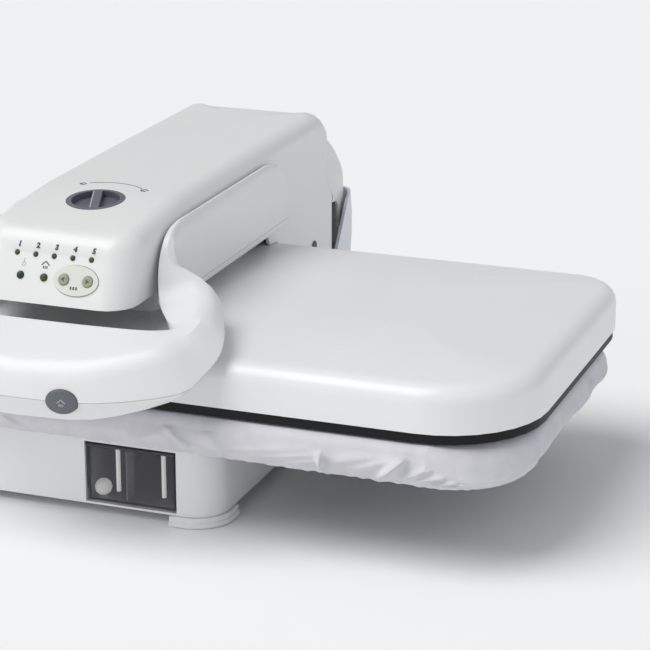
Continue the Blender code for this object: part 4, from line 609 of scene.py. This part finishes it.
def lamp_numbers():
    """The heat settings over the row of lamps, from 1 to 5."""
    digits = []
    centred = Matrix.Translation((0, -DIGIT_HEIGHT / 2, 0))
    for index in range(LAMP_COUNT):
        x = (index - (LAMP_COUNT - 1) / 2) * LAMP_PITCH
        digit = printed_digit(str(index + 1))
        sunk = MARK - DIGIT_DEPTH
        place = panel_matrix(x + NUMBER_SHIFT, LAMP_Z + NUMBER_RISE, "arm_cover", sunk)
        digits.append(put(digit, place @ centred))
    settle(joined(digits), "lamp_numbers", PRINT_GREY, "arm")


# The steam sign at a scale of 1: a roof of two strokes over three short jets.
SIGN_STROKE = 0.0005
ROOF_LENGTH = 0.0030
ROOF_PLACE = (0.00095, 0.0006)
ROOF_TURN = 0.85
JET_LENGTH = 0.0013
JET_PITCH = 0.0009
JET_Y = -0.0014


def steam_sign(scale):
    """The sign for steam, flat at the origin."""
    width = SIGN_STROKE * scale
    strokes = []
    for side in (-1, 1):
        x = side * ROOF_PLACE[0] * scale
        strokes.append(bar(width, ROOF_LENGTH * scale, x, ROOF_PLACE[1] * scale, side * ROOF_TURN))
    for step in (-1, 0, 1):
        strokes.append(bar(width, JET_LENGTH * scale, step * JET_PITCH * scale, JET_Y * scale))
    return joined(strokes)


# Signs on the panel, each with its place as (across, height).
READY_RING = (0.0015, 0.0011)
READY_STEM = (0.0005, 0.0030)
READY_STEM_Y = 0.0027
READY_PLACE = (-0.0212, 0.1785)
STEAM_SCALE = 1.45
STEAM_PLACE = (-0.0052, 0.1795)
ARROW_RADIUS = 0.0019
KEY_Z = 0.1715
LEVEL_BAR = (0.0012, 0.0022)
LEVEL_PITCH = 0.0020
LEVEL_PLACE = (0.0183, 0.1668)


def status_signs():
    """The signs over the two status lamps."""
    ready = joined([ring(*READY_RING), bar(*READY_STEM, y=READY_STEM_Y)])
    put(ready, panel_matrix(*READY_PLACE, "arm_cover"))
    settle(ready, "ready_sign", PRINT_PALE, "arm")
    steam = put(steam_sign(STEAM_SCALE), panel_matrix(*STEAM_PLACE, "arm_cover"))
    settle(steam, "steam_sign", PRINT_GREY, "arm")


def key_arrows():
    """A small triangle on each key, pointing away from the other key."""
    for side, name in ((-1, "key_left"), (1, "key_right")):
        low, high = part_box(name)
        bpy.ops.object.select_all(action="DESELECT")
        bpy.ops.mesh.primitive_circle_add(vertices=3, radius=ARROW_RADIUS, fill_type="NGON")
        shape = bpy.context.object
        shape.rotation_euler = (0, 0, -side * pi / 2)
        alone(shape)
        bpy.ops.object.transform_apply(location=True, rotation=True, scale=True)
        thicken(shape, MARK)
        put(shape, panel_matrix((low.x + high.x) / 2, KEY_Z, name))
        settle(shape, f"arrow_{name}", PRINT_OLIVE, name)


def level_bars():
    """The three short bars between the keys."""
    strokes = [bar(*LEVEL_BAR, x=step * LEVEL_PITCH) for step in (-1, 0, 1)]
    level = put(joined(strokes), panel_matrix(*LEVEL_PLACE, "keypad_bezel"))
    settle(level, "level_bars", PRINT_OLIVE, "arm")


# The dial: its ridge, the pale painted highlight along it, and the arc behind it, in degrees from the right.
DIAL_CENTRE = Vector((0, -0.118))
DIAL_ABOVE = 0.3
RIDGE_TURN = radians(20)
RIDGE_EDGE = 0.0026
RIDGE_HIGHLIGHT_SIZE = (0.0008, 0.0330)
ARC_RADIUS = 0.0365
ARC_START = 122
ARC_SWEEP = 68
ARC_WIDTH = 0.0005
ARC_WIDENING = 0.0004
ARC_STEPS = 40
END_SIGNS = ((129, 1.3), (47, 1.5))
END_LIFT = 0.00003

# The arm's top, which is level at the rear and curves down over a run to the front.
TOP_FRONT = -0.199
TOP_RUN = 0.140
TOP_HEIGHT = 0.2105
TOP_FALL = 0.015


def round_dial(angle, radius, out):
    """A place on the arm's top round the dial, and so far above the top."""
    x = DIAL_CENTRE.x + radius * cos(radians(angle))
    y = DIAL_CENTRE.y + radius * sin(radians(angle))
    share = max(TOP_FRONT + TOP_RUN - y, 0) / TOP_RUN
    return x, y, TOP_HEIGHT - TOP_FALL * share * share + out


def dial_arc():
    """The arc behind the dial, which widens to the right."""
    bpy.ops.object.select_all(action="DESELECT")
    bpy.ops.mesh.primitive_grid_add(x_subdivisions=ARC_STEPS, y_subdivisions=1, size=1, location=(0, 0, 0))
    arc = bpy.context.object
    for vertex in arc.data.vertices:
        share = vertex.co.x + 0.5
        width = ARC_WIDTH + ARC_WIDENING * share
        radius = ARC_RADIUS + vertex.co.y * width
        vertex.co = round_dial(ARC_START - ARC_SWEEP * share, radius, LIFT)
    thicken(arc, MARK)
    settle(arc, "dial_arc", PRINT_SOFT, "arm")


def dial_end_signs():
    """The signs at the two ends of the arc."""
    ends = []
    for angle, scale in END_SIGNS:
        place = round_dial(angle, ARC_RADIUS, END_LIFT)
        ends.append(put(steam_sign(scale), Matrix.Translation(place)))
    settle(joined(ends), "dial_end_signs", PRINT_GREY, "arm")


def dial_ridge_highlight():
    """A pale strip along the left edge of the dial's ridge: a painted highlight where the ridge catches the
    light.
    """
    to_edge = Vector((cos(RIDGE_TURN), sin(RIDGE_TURN), 0)) * RIDGE_EDGE
    along = Vector((-sin(RIDGE_TURN), cos(RIDGE_TURN), 0))
    above = Vector((*DIAL_CENTRE, DIAL_ABOVE)) - to_edge
    _, place, out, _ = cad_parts["dial_knob"].ray_cast(above, Vector((0, 0, -1)))
    across = along.cross(out).normalized()
    turn = turned(across, out.cross(across), out)
    # A pale strip for the ridge's bright edge: painted highlight.
    line = put(bar(*RIDGE_HIGHLIGHT_SIZE), Matrix.Translation(place + out * LIFT) @ turn)
    settle(line, "dial_ridge_highlight", PRINT_PALE, "dial")


BUTTON_TURN = radians(6)
BUTTON_FACE = (0.036, -0.2507)
BUTTON_OUT = 0.00222
BUTTON_SCALE = 1.35


def button_sign():
    """The steam sign on the slanted face of the handle's button."""
    low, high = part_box("steam_button")
    across = Vector((cos(BUTTON_TURN), sin(BUTTON_TURN), 0))
    out = Vector((sin(BUTTON_TURN), -cos(BUTTON_TURN), 0))
    middle = (low + high) / 2
    place = Vector((*BUTTON_FACE, middle.z)) + out * BUTTON_OUT
    turn = turned(across, Vector((0, 0, 1)), out)
    sign = put(steam_sign(BUTTON_SCALE), Matrix.Translation(place) @ turn)
    settle(sign, "button_sign", PRINT_PALE, "steam_button")


# The board's outline: half its width, its front and rear, and its corners.
BOARD_HALF = 0.3295
BOARD_FRONT = -0.2035
BOARD_REAR = 0.078
FRONT_CORNER = 0.060
REAR_CORNER = 0.046

# The cover's top, and its hem at mid-front and at the ends, with the turn under it.
COVER_TOP = 0.0904
HEM_FRONT = 0.0604
HEM_SIDE = 0.0584
HEM_TUCK = 0.024
HEM_TURN = 0.0035
HEM_DROOP = 0.0006
HEM_HOLD = 0.55
HEM_WAVE = 0.0005

# How uneven the cloth is: its gathers at the hem, more at the corners, and its slow waves
# down the side and over the top, with how closely they follow each other.
GATHER_HEIGHT = 0.00035
GATHER_CORNER = 0.00045
SOFT_WAVE = 0.0005
SOFT_ACROSS = 28
SOFT_DOWN = 40
SOFT_START = 3
TOP_WAVE = 0.0003
TOP_ACROSS = 20
TOP_INWARD = 30

# The gathers along the elastic: their pitch, their wander with its rate and start, and share.
PUCKERS = ((0.0115, 2.2, 61, 0, 0.6), (0.0073, 1.7, 37, 1, 0.4))

# How the cover rolls over the edge, bellies out and is drawn in towards the hem.
EDGE_ROLL = 0.0085
CORNER_ROLL = 0.0135
CORNER_POWER = 0.8
ROLL_SLACK = 0.001
BELLY = 0.0012
DRAWN_IN = 0.0068
DRAWN_POWER = 2.2

# How closely the cover's mesh is laid, along its side and down it.
FINE_SIDE = (0.04, 0.34)
FINE_STEP = 0.0006
WIDE_STEP = 0.0017
TOP_INSETS = (0.022, 0.016, 0.010, 0.005)
ROLL_STEPS = 7
SIDE_ROWS = 22
TURN_STEPS = 4
TUCK_STEPS = 5


def outline_stations(total):
    """Distances round the board, close together where the nearest folds are."""
    stations = []
    at = 0.0
    while at < total - WIDE_STEP / 2:
        stations.append(at)
        at += FINE_STEP if FINE_SIDE[0] < at < FINE_SIDE[1] else WIDE_STEP
    return stations


def board_outline():
    """Points of the board's outline with the way out at each, from mid-front."""
    half, front, rear = BOARD_HALF, BOARD_FRONT, BOARD_REAR
    a, b = FRONT_CORNER, REAR_CORNER
    runs = [
        ("line", Vector((0, front)), Vector((half - a, front)), None),
        ("arc", Vector((half - a, front + a)), a, -90),
        ("line", Vector((half, front + a)), Vector((half, rear - b)), None),
        ("arc", Vector((half - b, rear - b)), b, 0),
        ("line", Vector((half - b, rear)), Vector((b - half, rear)), None),
        ("arc", Vector((b - half, rear - b)), b, 90),
        ("line", Vector((-half, rear - b)), Vector((-half, front + a)), None),
        ("arc", Vector((a - half, front + a)), a, 180),
        ("line", Vector((a - half, front)), Vector((0, front)), None),
    ]
    lengths = [
        (run[2] - run[1]).length if run[0] == "line" else run[2] * pi / 2 for run in runs
    ]
    total = sum(lengths)
    points = []
    for station in outline_stations(total):
        left = station
        index = 0
        while left > lengths[index]:
            left -= lengths[index]
            index += 1
        kind, start, other, first = runs[index]
        if kind == "line":
            way = (other - start).normalized()
            points.append((start + way * left, Vector((way.y, -way.x)), station))
        else:
            angle = radians(first) + left / other
            out = Vector((cos(angle), sin(angle)))
            points.append((start + out * other, out, station))
    return points, total


# Folds of the cover's side, each from one end to the other as (along, down), with its
# width, its height and how steep its shaded flank is. Along is in metres from mid-front,
# down is the share from the top to the hem.
FRONT_FOLDS = (
    ((0.199, 0.28), (0.2005, 1.0), 0.0022, 0.0026, 2.6),
    ((0.150, 0.78), (0.196, 0.34), 0.0036, 0.0010, 1.0),
    ((0.162, 0.95), (0.197, 0.52), 0.0030, 0.0011, 1.2),
    ((0.176, 1.00), (0.198, 0.74), 0.0026, 0.0009, 1.0),
    ((0.134, 0.62), (0.186, 0.20), 0.0040, 0.0007, 1.0),
    ((0.256, 0.05), (0.237, 0.98), 0.0034, 0.0026, 2.0),
    ((0.247, 0.10), (0.222, 0.70), 0.0034, 0.0010, 1.0),
    ((0.236, 0.06), (0.208, 0.52), 0.0036, 0.0008, 1.0),
    ((0.272, 0.30), (0.254, 0.86), 0.0026, 0.0016, 1.5),
    ((0.281, 0.38), (0.262, 0.96), 0.0024, 0.0015, 1.4),
    ((0.289, 0.50), (0.270, 1.00), 0.0022, 0.0014, 1.4),
    ((0.294, 0.62), (0.281, 1.00), 0.0020, 0.0012, 1.4),
    ((0.091, 0.05), (0.104, 0.66), 0.0034, 0.0014, 1.4),
    ((0.104, 0.66), (0.118, 0.98), 0.0040, 0.0008, 1.0),
    ((0.118, 0.10), (0.126, 0.60), 0.0038, 0.0008, 1.0),
    ((0.060, 0.85), (0.084, 0.30), 0.0050, 0.0006, 1.0),
)

# How a fold fades past its ends and falls off to its lit and its shaded side.
FOLD_SCALE = 2.9
FOLD_NEAR = 0.07
FOLD_RUN_ON = 0.25
FOLD_FADE = 0.7
LIT_SPREAD = 1.5
SHARP_STEEPNESS = 1.2
SHARP_FALL = 1.25
SOFT_FALL = 2.0

# The folds out of the first view: where they start and stop, and how they vary.
SPARE_SEED = 11
SPARE_START = 0.36
SPARE_REAR = 0.62
SPARE_END = 0.03
SPARE_LEAN = 0.018
SPARE_TOP = (0.05, 0.6)
SPARE_WIDTH = (0.0024, 0.0042)
SPARE_PITCH = (0.012, 0.034)
SPARE_SIDE_PITCH = 1.5
STRONG_CHANCE = 0.22
STRONG_HEIGHT = (0.0006, 0.0009)
STRONG_STEEPNESS = 1.8
WEAK_HEIGHT = (0.0002, 0.0004)


def spare_folds(total):
    """Folds for the sides that are out of the first view, of the same kinds."""
    chance = random.Random(SPARE_SEED)
    folds = []
    at = SPARE_START
    while at < total - SPARE_END:
        lean = chance.uniform(-SPARE_LEAN, SPARE_LEAN)
        top = chance.uniform(*SPARE_TOP)
        strong = chance.random() < STRONG_CHANCE
        height = chance.uniform(*(STRONG_HEIGHT if strong else WEAK_HEIGHT))
        width = chance.uniform(*SPARE_WIDTH)
        steep = STRONG_STEEPNESS if strong else 1.0
        folds.append(((at, top), (at + lean, 1.0), width, height, steep))
        at += chance.uniform(*SPARE_PITCH) * (1.0 if at > SPARE_REAR else SPARE_SIDE_PITCH)
    return tuple(folds)


def fold_height(folds, along, down, depth):
    """How far the folds lift the cloth at a place on its side."""
    lift = 0.0
    for (a0, d0), (a1, d1), width, height, steep in folds:
        if abs(along - a0) > FOLD_NEAR and abs(along - a1) > FOLD_NEAR:
            continue
        start = Vector((a0, d0 * depth))
        way = Vector((a1, d1 * depth)) - start
        here = Vector((along, down * depth)) - start
        share = here.dot(way) / way.length_squared
        off = here - way * min(max(share, 0.0), 1.0)
        shaded = way.x * here.y < way.y * here.x
        reach = width / steep if shaded else width * LIT_SPREAD
        fall = SHARP_FALL if shaded and steep > SHARP_STEEPNESS else SOFT_FALL
        inside = min(max((share + FOLD_RUN_ON) / (1 + 2 * FOLD_RUN_ON), 0.0), 1.0)
        fade = sin(pi * inside) ** FOLD_FADE
        lift += FOLD_SCALE * height * fade * exp(-((off.length / reach) ** fall))
    return lift


def hem_height(x):
    """The drawn-in hem hangs a little lower at the ends than at mid-front."""
    share = min(abs(x) / BOARD_HALF, 1.0) ** 2
    return HEM_FRONT + (HEM_SIDE - HEM_FRONT) * share


def cover_profile(depth, roll):
    """Down the side: how far in from the outline, how far down, and the share of the fall."""
    steps = [(roll + inset, 0.0, -inset) for inset in TOP_INSETS]
    for step in range(ROLL_STEPS + 1):
        angle = pi / 2 * step / ROLL_STEPS
        steps.append((roll * (1 - sin(angle)) + ROLL_SLACK, roll * (1 - cos(angle)), 0.0))
    for step in range(1, SIDE_ROWS + 1):
        share = step / SIDE_ROWS
        inset = DRAWN_IN * share**DRAWN_POWER - BELLY * sin(pi * share) + ROLL_SLACK * (1 - share)
        steps.append((inset, roll + (depth - roll - HEM_TURN) * share, share))
    for step in range(1, TURN_STEPS + 1):
        angle = pi / 2 * step / TURN_STEPS
        inset = DRAWN_IN + HEM_TURN * (1 - cos(angle))
        steps.append((inset, depth - HEM_TURN * (1 - sin(angle)), 1.0))
    for step in range(1, TUCK_STEPS + 1):
        inset = DRAWN_IN + HEM_TURN + (HEM_TUCK - DRAWN_IN - HEM_TURN) * step / TUCK_STEPS
        steps.append((inset, depth - HEM_DROOP * step / TUCK_STEPS, 1.0))
    return steps


def pucker(along):
    """The cloth's gathers along the elastic, from -1 to 1."""
    height = 0.0
    for pitch, wander, rate, start, share in PUCKERS:
        height += sin(along * 2 * pi / pitch + wander * sin(along * rate + start)) * share
    return height


def cover_strip(place, out, along, folds):
    """The cover's points from its top down to the end of the tuck, each with its UV."""
    depth = COVER_TOP - hem_height(place.x)
    corner = min(abs(out.x), abs(out.y)) * 2
    roll = EDGE_ROLL + CORNER_ROLL * (2 * abs(out.x * out.y)) ** CORNER_POWER
    gathers = pucker(along)
    gather_height = GATHER_HEIGHT + GATHER_CORNER * corner
    strip = []
    run = 0.0
    for inset, fall, share in cover_profile(depth, roll):
        side = max(share, 0.0)
        tucked = share == 1.0 and inset > DRAWN_IN
        lift = fold_height(folds, along, share, depth) if share > 0 else 0.0
        spot = Vector((place.x * SOFT_ACROSS, place.y * SOFT_ACROSS, fall * SOFT_DOWN + SOFT_START))
        soft = noise.noise(spot)
        lift += side**3 * gather_height * gathers + SOFT_WAVE * soft * min(side * 4, 1.0)
        if tucked:
            lift *= HEM_HOLD
        where = place - out * (inset - lift)
        height = COVER_TOP - fall
        if share < 0:
            spot = Vector((place.x * TOP_ACROSS, place.y * TOP_ACROSS, inset * TOP_INWARD))
            height -= TOP_WAVE * (1 + noise.noise(spot))
        if tucked:
            height += HEM_WAVE * (1 + gathers)
        point = Vector((where.x, where.y, height))
        if strip:
            run += (point - strip[-1][0]).length
        strip.append((point, (along, run)))
    return strip


def cover_mesh(strips, total):
    """The cover's mesh: its strips side by side, and one face over the top."""
    count = len(strips)
    rows = len(strips[0])
    faces = []
    for index in range(count):
        after = (index + 1) % count
        for row in range(rows - 1):
            a = index * rows + row
            b = after * rows + row
            faces.append((a, a + 1, b + 1, b))
    faces.append(tuple(index * rows for index in range(count)))
    points = [point for strip in strips for point, _ in strip]
    spots = [spot for strip in strips for _, spot in strip]
    mesh = bpy.data.meshes.new("board_cloth")
    mesh.from_pydata(points, [], faces)
    layer = mesh.uv_layers.new(name="cloth")
    # The top takes its UV from its plan, and the last strip's faces end at the full length.
    for face in mesh.polygons:
        face.use_smooth = True
        closing = max(face.vertices) > rows * 2
        for loop in face.loop_indices:
            vertex = mesh.loops[loop].vertex_index
            along, run = spots[vertex]
            if len(face.vertices) > 4:
                along, run, _ = mesh.vertices[vertex].co
            elif closing and vertex < rows:
                along = total
            layer.data[loop].uv = (along, run)
    return mesh


def board_cover():
    """The cloth cover: stretched over the board, gathered by the elastic in its hem."""
    points, total = board_outline()
    folds = FRONT_FOLDS + spare_folds(total)
    strips = [cover_strip(place, out, along, folds) for place, out, along in points]
    shape = bpy.data.objects.new("board_cloth", cover_mesh(strips, total))
    bpy.context.collection.objects.link(shape)
    settle(shape, "board_cloth", COVER_CLOTH, "base")
    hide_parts("board_cover")


PAD_CORNER = 0.055
PAD_RIM = 0.0028
PAD_SMOOTH = radians(40)
PAD_LEVEL = 0.9


def foam_underlay():
    """The foam between the tray and the cloth, round at its corners and its rim."""
    low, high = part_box("board_pad")
    pad = block(low, high)
    pick(pad, "EDGE", lambda a, b: abs(a.z - b.z) > PAD_RIM)
    bpy.ops.mesh.bevel(offset=PAD_CORNER, segments=12, affect="EDGES")
    pick(pad, "FACE", lambda centre, normal: abs(normal.z) > PAD_LEVEL)
    bpy.ops.mesh.region_to_loop()
    bpy.ops.mesh.bevel(offset=PAD_RIM, segments=4, affect="EDGES")
    bpy.ops.object.mode_set(mode="OBJECT")
    bpy.ops.object.shade_smooth_by_angle(angle=PAD_SMOOTH)
    settle(pad, "foam_underlay", PAD_FOAM, "base")
    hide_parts("board_pad")


# The tank's rib: its sides, and how far in from the tank it starts and ends.
RIB_LEFT = 0.0450
RIB_RIGHT = 0.0456
RIB_FRONT = 0.0040
RIB_REAR = 0.0160
RIB_FOOT = 0.0018
RIB_HEAD = 0.0024
RIB_ROUNDING = 0.0001


def tank_rib():
    """The faint upright rib between the two tubes of the tank."""
    low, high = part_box("water_tank")
    foot = (RIB_LEFT, low.y + RIB_FRONT, low.z + RIB_FOOT)
    head = (RIB_RIGHT, low.y + RIB_REAR, high.z - RIB_HEAD)
    rib = block(foot, head)
    pick(rib, "EDGE", lambda a, b: True)
    bpy.ops.mesh.bevel(offset=RIB_ROUNDING, segments=2, affect="EDGES")
    bpy.ops.object.mode_set(mode="OBJECT")
    settle(rib, "tank_rib", RIB_SMOKE, "tank")


# The studio: each light with where it stands, its power, its spread and its colour.
FLOOR_SIZE = 60
LIGHTS = (
    ("window", (-0.40, -0.35, 0.85), 1.84, radians(44), (1.0, 0.99, 0.965)),
    ("front_screen", (-1.1, -0.7, 0.02), 0.72, radians(50), (1.0, 0.99, 0.97)),
    ("side_screen", (1.0, -0.25, 0.55), 0.33, radians(60), (0.94, 0.96, 1.0)),
)
AIR_COLOUR = (0.91, 0.945, 1.0, 1.0)
AIR_POWER = 0.37
CAMERA_LENS = 132.92
CAMERA_SENSOR = 36.0
CAMERA_PLACE = (0.7080, -1.5666, 0.6436)
CAMERA_TURN = (radians(71.8), 0, radians(20.4))


def studio_floor():
    """A plain pale floor."""
    bpy.ops.object.select_all(action="DESELECT")
    bpy.ops.mesh.primitive_plane_add(size=FLOOR_SIZE, location=(0, 0, 0))
    floor = bpy.context.object
    floor.name = "studio_floor"
    made, _, shader = new_material("studio_white")
    shader.inputs["Base Color"].default_value = (0.97, 0.97, 0.97, 1.0)
    shader.inputs["Roughness"].default_value = 0.9
    shader.inputs["Specular IOR Level"].default_value = 0.1
    floor.data.materials.append(made)


def studio_light():
    """Soft light from all round, and from three sides."""
    world = bpy.data.worlds.new("studio_air")
    bpy.context.scene.world = world
    world.use_nodes = True
    back = world.node_tree.nodes["Background"]
    back.inputs["Color"].default_value = AIR_COLOUR
    back.inputs["Strength"].default_value = AIR_POWER
    for name, place, power, spread, colour in LIGHTS:
        lamp = bpy.data.lights.new(name, "SUN")
        lamp.energy = power
        lamp.angle = spread
        lamp.color = colour
        shape = bpy.data.objects.new(name, lamp)
        shape.location = place
        shape.rotation_euler = (-Vector(place)).to_track_quat("-Z", "Y").to_euler()
        bpy.context.collection.objects.link(shape)
    bpy.context.scene.view_settings.view_transform = "Standard"


def studio_camera():
    """The camera that took the photograph."""
    optics = bpy.data.cameras.new("camera")
    optics.lens = CAMERA_LENS
    optics.sensor_width = CAMERA_SENSOR
    camera = bpy.data.objects.new("camera", optics)
    camera.location = CAMERA_PLACE
    camera.rotation_euler = CAMERA_TURN
    bpy.context.collection.objects.link(camera)
    bpy.context.scene.camera = camera


finish_nodes()
studio_floor()
studio_light()
studio_camera()
foam_underlay()
board_cover()
lamp_numbers()
status_signs()
key_arrows()
level_bars()
dial_arc()
dial_end_signs()
dial_ridge_highlight()
button_sign()
tank_rib()
